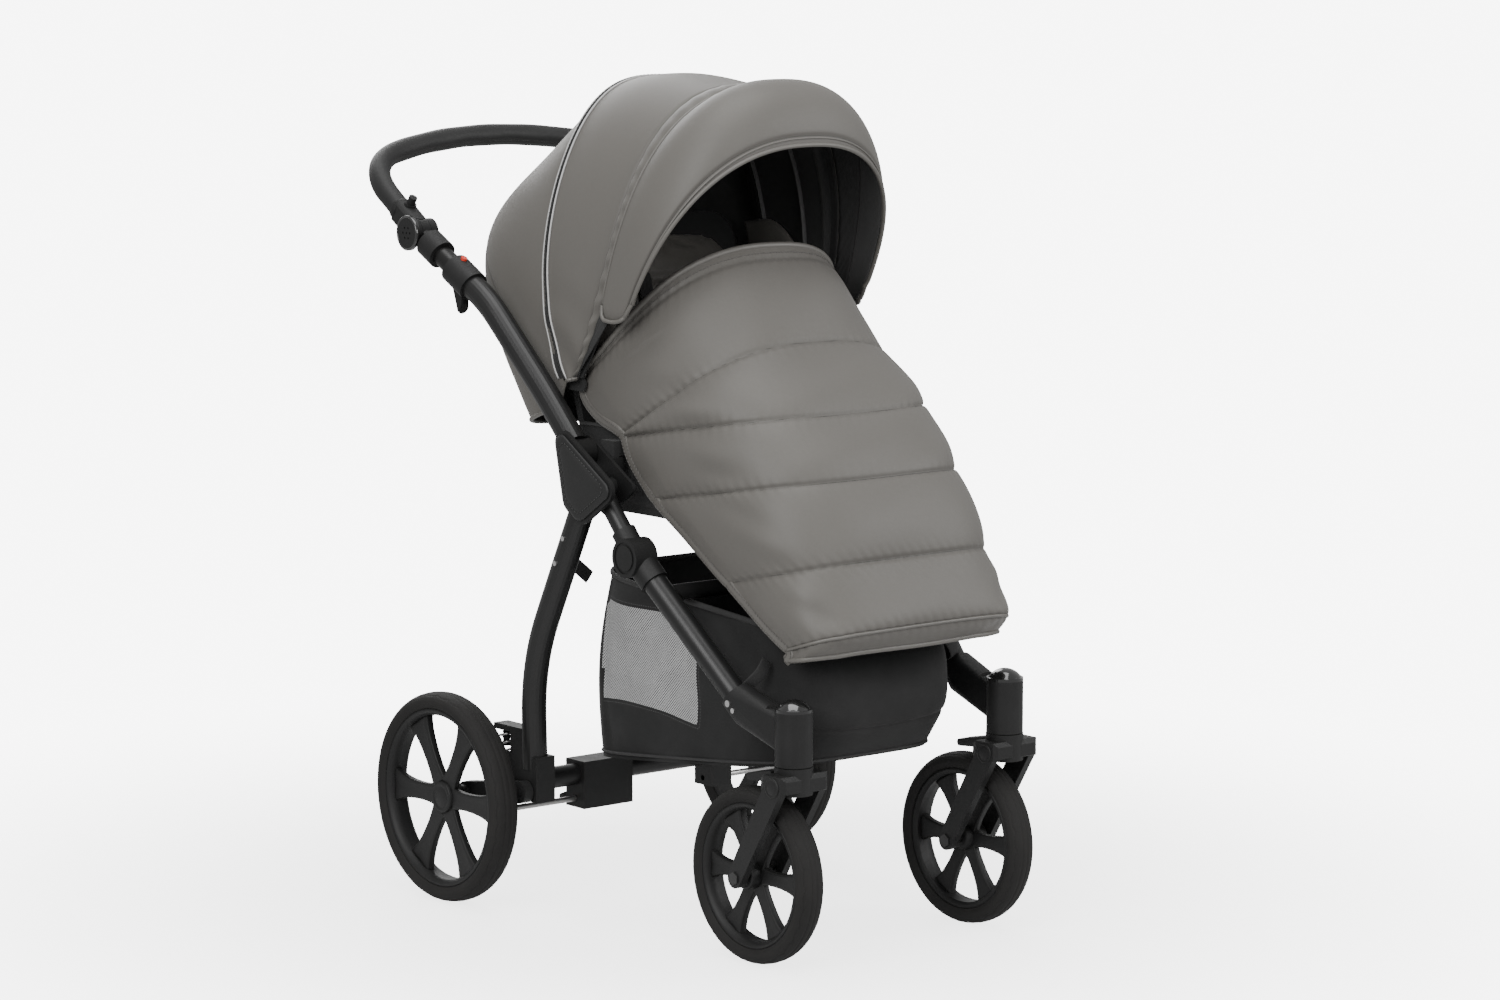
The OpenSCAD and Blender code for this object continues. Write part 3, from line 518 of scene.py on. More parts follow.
piece("grip_ferrules", [(place(turned(ferrule, np.array([side * handle_pivot[0], *(handle_pivot
      + up_handle * (grip_start + 3))[1:]]), up_handle)), True, False) for side in (-1, 1)],
      moulded, "handlebar")


# ---- Hub covers --------------------------------------------------------------------------
# Each hub is finished by a pear-shaped pad of black leather-look material over a crowned shell,
# with one row of stitches a little inside its edge.
cover_rows, cover_columns = 14, 120
pads, cover_stitches = [], []
for side, name in ((-1, "right"), (1, "left")):
    mesh = nodes["hub_covers"].data
    points = np.empty(len(mesh.vertices) * 3)
    mesh.vertices.foreach_get("co", points)
    points = (points.reshape(-1, 3) - [0, middle_y, 0]) * 1000
    points = points[points[:, 0] * side > 0]
    outer = points[np.abs(points[:, 0]) > np.abs(points[:, 0]).max() - 0.2]
    face_x = np.abs(outer[:, 0]).max()
    middle = outer.mean(0)
    angle = np.arctan2(outer[:, 2] - middle[2], outer[:, 1] - middle[1])
    order = np.argsort(angle)
    edge = outer[order]
    edge = evenly(np.concatenate([edge, edge[:1]]), cover_columns + 1)[:-1]
    share = np.linspace(0, 1, cover_rows) ** 0.8
    grown = middle + (edge - middle) * share[:, None, None]
    crown = 3.6 * (1 - share ** 3.2) - 1.1 * np.exp(-((share - 0.8) / 0.05) ** 2)
    grown[..., 0] = side * (face_x - 1.4 + crown[:, None])
    skirt = grown[-1:] * [0, 1, 1] + [side * (face_x - 4.2), 0, 0]
    pads.append((place(np.concatenate([grown, skirt])), True, True))
    track = evenly(np.concatenate([grown[10], grown[10][:1]]), 92) + [side * 0.55, 0, 0]
    cover_stitches += [(place(tube(track[k:k + 2], 0.5, (1, 0, 0), 6)), True, True)
                       for k in range(0, 90, 2)]
piece("hub_pads", pads, black_leather, "chassis", replaces=("hub_covers",))
piece("hub_stitches", cover_stitches, thread_black, "chassis")


# ---- Wheels ------------------------------------------------------------------------------
# Moulded black rims with six broad spokes and a stepped face, and solid foamed tyres whose
# shoulders carry a wavy groove. The rear hubs are closed by a cap, the front ones bolted.
def rubber_look(tree, where):
    """Dull rubber with fine mould grain and a little pale dust in patches."""
    dust = noise(tree, where, 35, 6, 0.7)
    grain = noise(tree, where, 1400, 3)
    return {"Base Color": mixed(tree, dust, grey(0.008), grey(0.016, 0.05)),
            "Roughness": 0.62 + dust * 0.2 + grain * 0.08,
            "Height": (grain + dust * 0.4, 0.25, 0.0005)}


rubber = material("foamed_rubber", rubber_look, Specular_IOR_Level=0.16)


def tyre(radius, rim, width, centre, waves):
    """A tyre as a profile carried round the axle. The tread is cut where a wave round the wheel
    meets each shoulder, and along two lines near the middle."""
    half, depth = width / 2, radius - rim
    a = np.radians(np.linspace(-90, 90, 49))
    turns = np.linspace(0, 2 * np.pi, 540, endpoint=False)
    a2, t2 = np.meshgrid(a, turns, indexing="ij")
    r = rim + depth * (0.32 + 0.68 * np.cos(a2) ** 0.75)
    side_wave = np.radians(40) + np.radians(9) * np.abs(np.sin(waves * t2)) ** 0.8
    groove = np.exp(-((np.abs(a2) - side_wave) / 0.055) ** 2)
    ring = np.exp(-((np.abs(a2) - 0.2) / 0.05) ** 2) + 0.7 * np.exp(-((np.abs(a2) - 1.2) / 0.04) ** 2)
    r = r - 1.1 * groove - 0.9 * ring
    x = half * np.sin(a2)
    grid = np.stack([x, r * np.sin(t2), r * np.cos(t2)], -1)
    inner = np.stack([np.array([[half * 0.7], [-half * 0.7]]) + 0 * t2[:2],
                      (rim + 0 * t2[:2]) * np.sin(t2[:2]), (rim + 0 * t2[:2]) * np.cos(t2[:2])], -1)
    closed = np.concatenate([inner[1:], grid, inner[:1], inner[1:]])
    return place(closed + centre)


def rim_grids(radius, width, hub_r, hub_out, centre, out, count=6):
    """A barrel with a stepped lip, a stepped hub, and spokes whose width and thickness follow
    the radius; each spoke is a rounded rectangle carried from hub to barrel, ribbed on its face."""
    half = width / 2
    barrel = [(radius - 8.5, -half + 4), (radius - 5, -half), (radius + 0.3, -half), (radius + 0.3, half),
              (radius - 2, half + 0.6), (radius - 5, half), (radius - 6.5, half - 3), (radius - 9, half - 5),
              (radius - 8.5, 0), (radius - 8.5, -half + 4)]
    hub = [(0.02, hub_out), (hub_r * 0.55, hub_out), (hub_r * 0.62, hub_out - 0.9),
           (hub_r * 0.72, hub_out - 0.9), (hub_r * 0.8, hub_out), (hub_r * 0.93, hub_out - 0.4),
           (hub_r, hub_out - 1.8), (hub_r, -half + 2), (hub_r * 0.7, -half), (0.02, -half)]
    grids = [(place(turned(barrel, centre, (out, 0, 0), 96)), True, False),
             (place(turned(hub, centre, (out, 0, 0), 64)), True, False)]
    share = np.linspace(0, 1, 22)[:, None]
    along = hub_r - 3 + (radius - 5 - hub_r) * share
    wide = radius * (0.085 + 0.03 * share + 0.09 * share ** 5 + 0.05 * (1 - share) ** 6)
    thick = 5.2 + 1.6 * share ** 2
    turn_round = np.linspace(0, 2 * np.pi, 28, endpoint=False)[None]
    c, s = np.cos(turn_round), np.sin(turn_round)
    across = wide * np.sign(c) * np.abs(c) ** 0.35
    deep = thick * np.sign(s) * np.abs(s) ** 0.35
    deep = deep - 1.3 * np.exp(-(across / (wide * 0.5)) ** 4) * (s > 0) * (0.2 + share)
    for k in range(count):
        angle = 2 * np.pi * (k + 0.5) / count
        y = along * math.sin(angle) + across * math.cos(angle)
        z = along * math.cos(angle) - across * math.sin(angle)
        grids.append((place(np.stack([out * (deep + 1), y, z], -1) + centre), True, True))
    return grids


# Tyre radius, rim radius, tyre width, waves round the tyre, rim width, hub radius, hub reach
wheel_sizes = {"rear": (145, 123, 43.6, 17, 32, 22, 10.6), "front": (116.5, 95.5, 41.6, 14, 30, 17, 23)}
for end, sizes in wheel_sizes.items():
    radius, rim, width, waves, rim_width, hub_r, hub_out = sizes
    for side, name in ((-1, "right"), (1, "left")):
        centre = centre_of(f"{end}_tyre_{name}")
        body = f"{end}_wheel_{name}"
        piece(f"{end}_tyre_{name}_tread", [(tyre(radius, rim, width, centre, waves), True, False)],
              rubber, body, outside=place(centre), replaces=(f"{end}_tyre_{name}",))
        piece(f"{end}_rim_{name}_spoked", rim_grids(rim, rim_width, hub_r, hub_out, centre, side),
              moulded, body, replaces=(f"{end}_rim_{name}",))


# ---- Suspension springs -------------------------------------------------------------------
# A coil of spring steel stands between each axle arm and its leg bracket, on a rubber buffer.
spring_r, wire_r = 8.5, 1.7
for side, name in ((-1, "right"), (1, "left")):
    low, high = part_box("spring_" + name)
    centre = centre_of("spring_" + name)
    turns = np.linspace(0, 1, 240)
    bottom, top = low.z * 1000 + wire_r, high.z * 1000 - wire_r
    coil_turn = turns * 12 * np.pi
    coil = np.stack([centre[0] + spring_r * np.cos(coil_turn), centre[1] + spring_r * np.sin(coil_turn),
                     bottom + (top - bottom) * turns], -1)
    made = piece("leg_spring_" + name, [(place(tube(coil, wire_r, (0, 0, 1), 10)), True, True)], zinc,
                 "rear_frame", replaces=("spring_" + name,))
    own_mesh(made)
    buffer = [(0.02, -30), (4.8, -30), (5.6, -26), (4.6, -22), (5.6, -18), (4.6, -14), (5.6, -10), (0.02, -9)]
    piece("leg_buffer_" + name, [(place(turned(buffer, [centre[0], centre[1], top + 9], (0, 0, 1), 24)),
                                  True, False)], rubber, "rear_frame")


# ---- Shopping basket -----------------------------------------------------------------------
# A woven polyester tub with a bound rim: each side has a window of pale net between the black
# band at the rim and the black lower part, and the front bulges out over the castors.
def woven(tree, where, pitch):
    """Plain weave height: two crossing sine ridges with the given pitch in metres."""
    scaled = add_node(tree, "ShaderNodeVectorMath", {"operation": "SCALE"},
                      {0: where, "Scale": 2 * math.pi / pitch})
    axes = [add_node(tree, "ShaderNodeSeparateXYZ", {}, {0: scaled}, output=k) for k in range(3)]
    return (axes[0] + axes[1]).sine() * axes[2].sine()


def cloth_look(dark, light, pitch):
    """A look for woven cloth: weave ridges, slubs and a slow fading of the colour."""
    def look(tree, where):
        ridges = woven(tree, where, pitch)
        slub = noise(tree, where, 420, 4, 0.6)
        slow = noise(tree, where, 12, 4, 0.6)
        return {"Base Color": mixed(tree, slow * 0.6 + slub * 0.3 + ridges * 0.15, dark, light),
                "Roughness": 0.74 + slub * 0.18,
                "Height": (ridges + slub * 0.8, 0.3, 0.0006)}
    return look


def attribute(tree, name):
    """A point attribute of the mesh as a number."""
    return add_node(tree, "ShaderNodeAttribute", {"attribute_name": name}, output=2)


def basket_look(tree, where):
    """Black weave, and pale net of small diamond holes where the attribute net is positive;
    a bound edge with two rows of stitches follows where it is near zero."""
    cloth = cloth_look(grey(0.008), grey(0.018), 0.0011)(tree, where)
    edge = attribute(tree, "net")
    scaled = add_node(tree, "ShaderNodeVectorMath", {"operation": "SCALE"},
                      {0: where, "Scale": 2 * math.pi / 0.0042})
    y = add_node(tree, "ShaderNodeSeparateXYZ", {}, {0: scaled}, output=1)
    z = add_node(tree, "ShaderNodeSeparateXYZ", {}, {0: scaled}, output=2)
    mesh_wave = (y * 0.5 + z * 0.5).sine() * (y * 0.5 - z * 0.5).sine()
    hole = mesh_wave.size() > 0.42
    slow = noise(tree, where, 30, 3)
    net = mixed(tree, hole, mixed(tree, slow, grey(0.3), grey(0.42)), grey(0.05))
    inside = edge > 0
    stitched = ((edge + 4.5).size() < 0.5) * (woven(tree, where, 0.004) > 0.1)
    black = mixed(tree, stitched, grey(0.013), grey(0.06))
    rim = mixed(tree, edge > -7.5, mixed(tree, slow, grey(0.008), grey(0.017)), black)
    return {"Base Color": mixed(tree, inside, rim, net), "Roughness": 0.8 - inside * 0.15 + slow * 0.05,
            "Height": (mesh_wave * inside + noise(tree, where, 900, 3) * 0.5, 0.35, 0.0008)}


basket_cloth = material("basket_cloth", basket_look, Sheen_Weight=0.04, Specular_IOR_Level=0.2)
basket_low, basket_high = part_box("basket")
basket_half = basket_high.x * 1000
floor_z, rim_z = basket_low.z * 1000, basket_high.z * 1000
basket_rear, basket_front = 142, -262


def tray(level, columns=260):
    """One ring of the basket, as in the frame: a rounded rectangle whose rear leans forwards,
    whose front bulges, whose floor rises and rim falls towards the front."""
    rear = basket_rear + 24 * math.sin(math.pi * level) - 34 * level
    front = basket_front - 66 * math.sin(math.radians(18 + 144 * level))
    angle = np.linspace(0, 2 * np.pi, 721)
    c, s = np.cos(angle), np.sin(angle)
    f = (1 - np.sign(s) * np.abs(s) ** 0.45) / 2
    across = np.sign(c) * np.abs(c) ** 0.45
    x = (basket_half - 9 * (1 - level) - 15 * f) * across
    low, high = floor_z + 45 * f, rim_z - 36 * f - 34 * f * (1 - across ** 2)
    ring = np.stack([x, rear + (front - rear) * f, low + (high - low) * level], -1)
    return evenly(ring, columns + 1)[:-1]


levels = np.concatenate([[0, 0.012, 0.03], np.linspace(0.06, 1, 74)])
walls = np.stack([tray(level) for level in levels])
floor_ring = tray(0.0)
floor_middle = floor_ring.mean(0)
shrink = np.linspace(0.03, 0.965, 26)[:, None, None]
base = floor_middle + (floor_ring - floor_middle) * shrink
base[..., 2] += 2.5 - 5 * (1 - shrink[..., 0] ** 2)
tub = np.concatenate([base, walls])
level_of = np.concatenate([np.full(26, -1.0), levels])[:, None]
y, z = tub[..., 1], tub[..., 2]
side_wall = np.clip((np.abs(tub[..., 0]) / (basket_half - 12) - 0.93) * 40, 0, 1) * (level_of > 0)
slack = (2.8 * np.sin(y / 41 + z / 60) * np.sin(z / 33 + 0.8) + 1.6 * np.sin(y / 17 + z / 23 + 1)
         + 1.1 * np.sin(z / 12 - y / 29))
sag = -3.5 * np.sin(np.pi * np.clip(level_of, 0, 1)) * side_wall
tub[..., 0] += np.sign(tub[..., 0]) * (sag + (slack - 2.4) * 0.75 * side_wall)
front_wall = np.clip((-y - 190) / 60, 0, 1) * (1 - side_wall) * (level_of > 0)
tub[..., 1] += front_wall * (1.5 + 2.2 * np.sin(tub[..., 0] / 37 + z / 19) * np.sin(z / 27))
front_seam = 1 - np.exp(-((level_of - 0.3) / 0.018) ** 2) * 0.9
tub[..., 1] -= front_wall * (front_seam - 1) * 3.4
band = 30 + 6 * np.sin(y / 60)
net = np.minimum.reduce([rim_z - 36 * np.clip((120 - y) / 380, 0, 1) - band - z,
                         z - 288 - 9 * np.cos((y - 20) / 70), y + 112, 132 + 10 * np.sin(z / 60) - y])
net = np.where(side_wall > 0.5, net, -20.0)
basket = surface("basket_tub", [(place(tub), True, False)], basket_cloth)
basket.data.attributes.new("net", "FLOAT", "POINT").data.foreach_set("value", net.astype(np.float32).ravel())


def thicken(made, wall, inner=None, offset=-1.0):
    """Gives a sheet its wall, inwards, with another material on the inner face if there is one."""
    solid = made.modifiers.new("wall", "SOLIDIFY")
    solid.thickness = wall / 1000
    solid.offset = offset
    if inner:
        made.data.materials.append(inner)
        solid.material_offset = 1
    return made


thicken(basket, 2.4)
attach(basket, "chassis")
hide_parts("basket")
black_webbing = material("black_webbing", cloth_look(grey(0.009), grey(0.022), 0.0016))
rim_line = np.concatenate([walls[-1], walls[-1][:2]])
piece("basket_binding", [(place(tube(rim_line + [0, 0, 1], 3.0, (0, 0, 1), 14, 1.3)), True, False)],
      black_webbing, "chassis")
piece("basket_floor_piping", [(place(tube(np.concatenate([walls[2], walls[2][:2]]), 2.0, (0, 0, 1), 10)),
                               True, False)], black_webbing, "chassis")
straps = []


def strap(path, side):
    """Flat webbing along a short path of points, mirrored to a side."""
    line = evenly(spline(np.array(path, float) * [side, 1, 1], 30), 30)
    return (place(tube(line, 9.5, (0, 1, 0), 16, 0.13)), True, True)


# The rear strap of each side reaches the leg, which folds.
for side, name in ((-1, "right"), (1, "left")):
    leg_strap = surface("basket_leg_strap_" + name, [strap(
        [(163, 106, 458), (176, 104, 468), (196, 98, 482), (212, 92, 494)], side)], black_webbing)
    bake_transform(leg_strap)
    for path in ([(165, -60, 452), (186, -72, 468), (202, -82, 484), (203, -86, 492)],
                 [(156, -262, 392), (168, -262, 376), (178, -252, 362), (180, -240, 352)]):
        straps.append(strap(path, side))
piece("basket_straps", straps, black_webbing, "chassis")


# ---- Seat bucket and footrest ----------------------------------------------------------------
# A sling of black cloth hangs under the seat between two side panels, and a padded footrest is
# buttoned to its front edge. Both show only from below and from the side.
black_cloth = material("black_seat_cloth", cloth_look(grey(0.008), grey(0.019), 0.0013),
                       Sheen_Weight=0.05, Specular_IOR_Level=0.25)
finish_nodes(black_cloth, "seat_shell", "backrest")
seat_half, seat_z = 172, 566
front_y, back_y = -165, 105
share = np.linspace(0, 1, 60)[:, None]
angle = np.linspace(-np.pi / 2, np.pi / 2, 90)[None]
bucket_y = front_y + (back_y - front_y) * share
wall_top = seat_z + 12 + 92 * np.clip((bucket_y + 120) / 130, 0, 1) ** 0.8
bucket_x = (seat_half + 3.5) * np.sign(np.sin(angle)) * np.abs(np.sin(angle)) ** 0.22
drop = np.cos(angle) ** 0.22
bucket_z = wall_top + (seat_z - 12 - wall_top) * drop - 5 * np.sin(np.pi * share) * drop ** 8
ripple = 1.3 * np.sin(bucket_y / 13 + bucket_z / 21) * np.sin(bucket_z / 17)
bucket = np.stack(np.broadcast_arrays(bucket_x + np.sign(bucket_x) * ripple * 0.5, bucket_y + 0 * drop,
                                      bucket_z), -1)
sling = piece("seat_sling", [(place(bucket), False, False)], black_cloth, "seat",
              outside=place([0, 0, 700]))
thicken(sling, 2.2)
piece("sling_binding", [(place(tube(bucket[:, column], 2.6, (1, 0, 0), 12)), True, True)
                        for column in (0, -1)], black_webbing, "seat")


def slab(half_x, half_y, half_z, power=4.5, rows=40, columns=120, crown=1.0):
    """A cushion as a superellipsoid: rounded-rectangle outline, crowned faces, in mm."""
    polar = np.linspace(-np.pi / 2, np.pi / 2, rows)[:, None]
    turn = np.linspace(0, 2 * np.pi, columns, endpoint=False)[None]

    def power_of(wave, exponent):
        return np.sign(wave) * np.abs(wave) ** exponent
    ring = power_of(np.cos(polar), 2 / 3.2)
    x = half_x * ring * power_of(np.cos(turn), 2 / power)
    y = half_y * ring * power_of(np.sin(turn), 2 / power)
    pinch = 1 - 0.03 * crown * (np.abs(x / half_x) * np.abs(y / half_y)) ** 0.5
    z = half_z * power_of(np.sin(polar), 2 / 2.2) + 0 * turn
    return np.stack([x * pinch, y * pinch, z], -1)


def tilted(points, origin, degrees):
    """Points turned about an axis across the seat and moved to an origin."""
    c, s = math.cos(math.radians(degrees)), math.sin(math.radians(degrees))
    x, y, z = points[..., 0], points[..., 1], points[..., 2]
    return np.stack([x, y * c - z * s, y * s + z * c], -1) + np.asarray(origin, float)


rest_pad = slab(136, 82, 7.5)
rest_pad[..., 2] += 1.0 * np.cos(rest_pad[..., 0] / 22) * (np.abs(rest_pad[..., 0]) < 120)
footrest = piece("footrest_pad", [(place(tilted(rest_pad + [0, -84, -1], [0, -173, 560], 40)), True, False)],
                 black_cloth, "leg_board", replaces=("footrest",))


# ---- Seat and back pads ----------------------------------------------------------------------
# Foam pads covered in warm grey coated leather. Each is blown up by a cloth simulation from a
# slightly smaller slab, then its channels are pressed in.
warm_dark, warm_light = (0.072, 0.068, 0.0615, 1), (0.089, 0.084, 0.0765, 1)
plain_leather = material("warm_grey_leather", leather_look(warm_dark, warm_light, 640, 0.16, 0.5),
                         Sheen_Weight=0.03, Specular_IOR_Level=0.3)
lining = material("charcoal_lining", cloth_look(grey(0.034), grey(0.052), 0.0012), Sheen_Weight=0.05,
                  Specular_IOR_Level=0.25)


def inflate(made, pressure, cap):
    """Remeshes a closed form evenly, lets cloth under inner pressure settle with no gravity, and
    limits each point's travel to cap millimetres."""
    remesh = made.modifiers.new("even", "REMESH")
    remesh.mode = "VOXEL"
    remesh.voxel_size = 0.006
    made.modifiers.new("soft", "SMOOTH").iterations = 4
    bpy.context.view_layer.update()
    even = bpy.data.meshes.new_from_object(made.evaluated_get(bpy.context.evaluated_depsgraph_get()))
    made.modifiers.clear()
    made.data = even
    start = np.empty(len(even.vertices) * 3)
    even.vertices.foreach_get("co", start)
    cloth = made.modifiers.new("cloth", "CLOTH")
    cloth.settings.use_pressure = True
    cloth.settings.uniform_pressure_force = pressure
    cloth.settings.effector_weights.gravity = 0
    cloth.settings.tension_stiffness = cloth.settings.compression_stiffness = 8
    cloth.point_cache.frame_end = 20
    for step in range(1, 21):
        bpy.context.scene.frame_set(step)
    swollen = made.evaluated_get(bpy.context.evaluated_depsgraph_get())
    end = np.empty_like(start)
    swollen.data.vertices.foreach_get("co", end)
    travel = (end - start).reshape(-1, 3)
    length = np.linalg.norm(travel, axis=1, keepdims=True)
    travel *= np.minimum(1, cap / 1000 / np.maximum(length, 1e-9))
    made.modifiers.clear()
    even.vertices.foreach_set("co", (start.reshape(-1, 3) + travel).ravel())
    bpy.context.scene.frame_set(1)


def press_channels(made, to_local, lines, depth, width):
    """Sinks the upper face along lines at constant values of a local coordinate."""
    mesh = made.data
    points = np.empty(len(mesh.vertices) * 3)
    mesh.vertices.foreach_get("co", points)
    points = points.reshape(-1, 3)
    run, height, direction = to_local(points)
    sink = sum(np.exp(-((run - line) / width) ** 2) for line in lines)
    points -= (sink * depth * np.clip(height, 0, 1))[:, None] * direction / 1000
    mesh.vertices.foreach_set("co", points.ravel())
    mesh.polygons.foreach_set("use_smooth", np.ones(len(mesh.polygons), bool))
    mesh.update()


lean = 17
hinge = np.array([0, 95, 606.0])
seat_cushion = piece("seat_cushion", [(place(slab(152, 102, 12) + [0, -33, 583]), True, False)],
                     plain_leather, "seat", replaces=("seat_pad",))
upright = slab(146, 158, 12.5)
upright = np.stack([upright[..., 0], -upright[..., 2] - 11, upright[..., 1] + 168], -1)
back_cushion = piece("back_cushion", [(place(tilted(upright, hinge, -lean)), True, False)],
                     plain_leather, "back", replaces=("back_pad",))
for cushion in (seat_cushion, back_cushion):
    inflate(cushion, 4.0, 7)
    cushion.modifiers.new("round", "SUBSURF").levels = 1
    cushion.modifiers["round"].render_levels = 1
face = np.array([0, -math.cos(math.radians(lean)), math.sin(math.radians(lean))])
up_back = np.array([0, math.sin(math.radians(lean)), math.cos(math.radians(lean))])
press_channels(seat_cushion, lambda p: ((p[:, 1] - middle_y) * 1000, (p[:, 2] * 1000 - 584) / 6,
                                        np.array([0, 0, 1.0])), (-92, -33, 26), 4.5, 5)
press_channels(back_cushion, lambda p: (((p - place(hinge)) @ up_back) * 1000,
                                        ((p - place(hinge)) @ face * 1000 - 12) / 6, face),
               (70, 130, 190, 250), 4.5, 5)

# Two side bolsters of the same leather stand forward beside the back pad.
for side, name in ((-1, "right"), (1, "left")):
    rows = np.linspace(0, 1, 46)[:, None]
    turn = np.linspace(0, 2 * np.pi, 44, endpoint=False)[None]
    reach_out = 8 + 48 * np.sin(np.pi * rows) ** 0.5 * (0.75 + 0.25 * rows)
    thick = 3 + 7.5 * np.sin(np.pi * rows) ** 0.5
    c, s = np.cos(turn), np.sin(turn)
    local_y = -22 - reach_out + reach_out * np.sign(c) * np.abs(c) ** 0.8
    local_x = side * (159 + 12 * (1 - c) / 2 * (rows < 2)) + thick * np.sign(s) * np.abs(s) ** 0.8
    local_x = local_x + side * 1.2 * np.sin(local_y / 7) * np.sin(np.pi * rows)
    local_z = 26 + 296 * rows + 0 * c
    wing = tilted(np.stack([local_x, local_y, local_z], -1), hinge, -lean)
    made = piece("side_bolster_" + name, [(place(wing), True, True)], plain_leather, "back")

# Harness webbing comes out of two slots in the back pad and runs down into the footmuff.
harness, slots = [], []
for side in (-1, 1):
    keys = np.array([(42, -21, 262), (43, -31, 258), (44, -33, 236), (46, -33, 180), (50, -34, 120),
                     (48, -38, 60), (36, -56, 20), (20, -86, -2), (9, -96, 0)], float) * [side, 1, 1]
    line = tilted(evenly(spline(keys, 120), 120), hinge, -lean)
    harness.append((place(tube(line, 12, face, 20, 0.1)), True, True))
    ring = turned([(9.5, -1), (12.5, -1), (12.5, 1.2), (9.5, 1.2), (9.5, -1)], [0, 0, 0], (0, 1, 0), 40)
    slots.append((place(tilted(ring * [1.6, 1, 0.55] + [side * 42, -24.5, 262], hinge, -lean)), True, False))
piece("harness_webbing", harness, black_webbing, "back")
piece("harness_slots", slots, moulded, "back")


# ---- Footmuff ----------------------------------------------------------------------------------
# A padded cover of warm grey coated leather over the lap and legs: five channels quilted across
# it, a bound and double-stitched edge, a charcoal lining, and a panel that closes it below.
def hoop_sheet(hoops, rows, columns, drawn_in=None):
    """A sheet through hoops of (foot y, foot z, crown y, crown z, half width, squareness, bow):
    each row is a superellipse arch over the seat, resampled evenly from foot to foot."""
    level = np.linspace(0, 1, rows)
    hoops = spline(hoops, rows)[:, None, :]
    u = np.linspace(-1, 1, 901)[None]
    squareness = 2 / hoops[..., 5]
    rising = np.clip(np.cos(u * np.pi / 2), 0, 1) ** squareness
    across = np.sign(u) * np.abs(np.sin(u * np.pi / 2)) ** squareness
    y = hoops[..., 0] + (hoops[..., 2] - hoops[..., 0]) * rising
    y = y + hoops[..., 6] * 6.75 * rising * (1 - rising) ** 2
    z = hoops[..., 1] + (hoops[..., 3] - hoops[..., 1]) * rising
    sheet = np.stack([hoops[..., 4] * across, y, z], -1)
    made = []
    for k, ring in enumerate(sheet):
        drawn = drawn_in(level[k]) if drawn_in else 0.0
        full = evenly(ring, 1201)
        made.append(evenly(full[int(1200 * drawn):1201 - int(1200 * drawn)], columns))
    return np.stack(made)


def outward(sheet):
    """Unit normals of a sheet, pointing away from the seat."""
    normal = np.cross(np.gradient(sheet, axis=0), np.gradient(sheet, axis=1))
    normal /= np.maximum(np.linalg.norm(normal, axis=-1, keepdims=True), 1e-9)
    middle = sheet.mean(axis=(0, 1)) * [0, 1, 1] - [0, -40, 120]
    return normal * np.sign(np.sum(normal * (sheet - middle)))


def seamed_look(dark, light):
    """Coated leather with painted shade: it is blended darker where the attribute seam, the distance in
    millimetres to the nearest seam, is small, with its thread showing in the line."""
    grain = leather_look(dark, light, 640, 0.16, 0.5)

    def look(tree, where):
        made = grain(tree, where)
        seam = attribute(tree, "seam")
        run = attribute(tree, "run") * 1.4
        line = seam < 0.6
        thread = line * (run.sine() > -0.6)
        shade = mixed(tree, thread, (0.03, 0.028, 0.025, 1), (0.04, 0.038, 0.034, 1))
        # Painted shade: within about 7 mm of a seam the leather is blended towards a darker warm grey,
        # standing for the shade in the sunken channel.
        near = add_node(tree, "ShaderNodeMapRange", {}, {0: seam, 1: 0.6, 2: 7.0, 3: 0.35, 4: 0.0})
        painted_seam_shade = mixed(tree, near, made["Base Color"], (0.05, 0.047, 0.042, 1))
        made["Base Color"] = mixed(tree, line, painted_seam_shade, shade)
        return made
    return look


seamed_leather = material("seamed_warm_grey_leather", seamed_look(warm_dark, warm_light),
                          Sheen_Weight=0.03, Specular_IOR_Level=0.3)


def sewn(name, sheet, seam, body, replaces, wall, inner=None, outside=None):
    """A sheet of leather whose seams are known, given its wall and its lining."""
    made = surface(name, [(place(sheet), False, False)], seamed_leather, outside=outside)
    run = np.cumsum(np.linalg.norm(np.diff(sheet, axis=1, prepend=sheet[:, :1]), axis=-1), axis=1)
    for key, values in (("seam", seam), ("run", run)):
        made.data.attributes.new(key, "FLOAT", "POINT").data.foreach_set(
            "value", np.broadcast_to(values, run.shape).astype(np.float32).ravel())
    thicken(made, wall, inner)
    if body:
        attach(made, body)
    if replaces:
        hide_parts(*replaces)
    return made


def stitch_row(line, reference, pitch=5.2, thread=0.55):
    """Short threads laid along a line, two of every three steps long."""
    length = np.sum(np.linalg.norm(np.diff(line, axis=0), axis=1))
    count = int(length / pitch) * 3
    steps = evenly(line, count + 1)
    aside = np.asarray(reference, float)
    return [(place(tube(steps[k:k + 3], thread, aside, 6)), True, True) for k in range(0, count - 2, 3)]


muff_half = 191
muff_hoops = [[96, 738, -84, 914, muff_half - 8, 2.6, -12], [92, 706, -132, 852, muff_half - 8, 2.9, 0],
              [54, 681, -173, 791, muff_half - 4, 3.2, 0], [6, 668, -222, 742, muff_half + 2, 3.4, 0],
              [-16, 640, -262, 700, muff_half + 2, 3.6, 0], [-48, 602, -296, 660, muff_half, 3.7, 0],
              [-78, 579, -322, 622, muff_half - 1, 3.8, 0], [-145, 534, -348, 572, muff_half - 4, 3.8, 0],
              [-212, 489, -368, 522, muff_half - 7, 3.8, 0], [-275, 446, -387, 478, muff_half - 11, 3.8, 0],
              [-322, 415, -400, 440, muff_half - 16, 4, 0], [-318, 401, -378, 409, muff_half - 19, 4, 0]]
muff = hoop_sheet(muff_hoops, 264, 170)
level = np.linspace(0, 11, 264)[:, None]
side_share = np.abs(np.linspace(-1, 1, 170))[None]
bulge = side_share ** 2
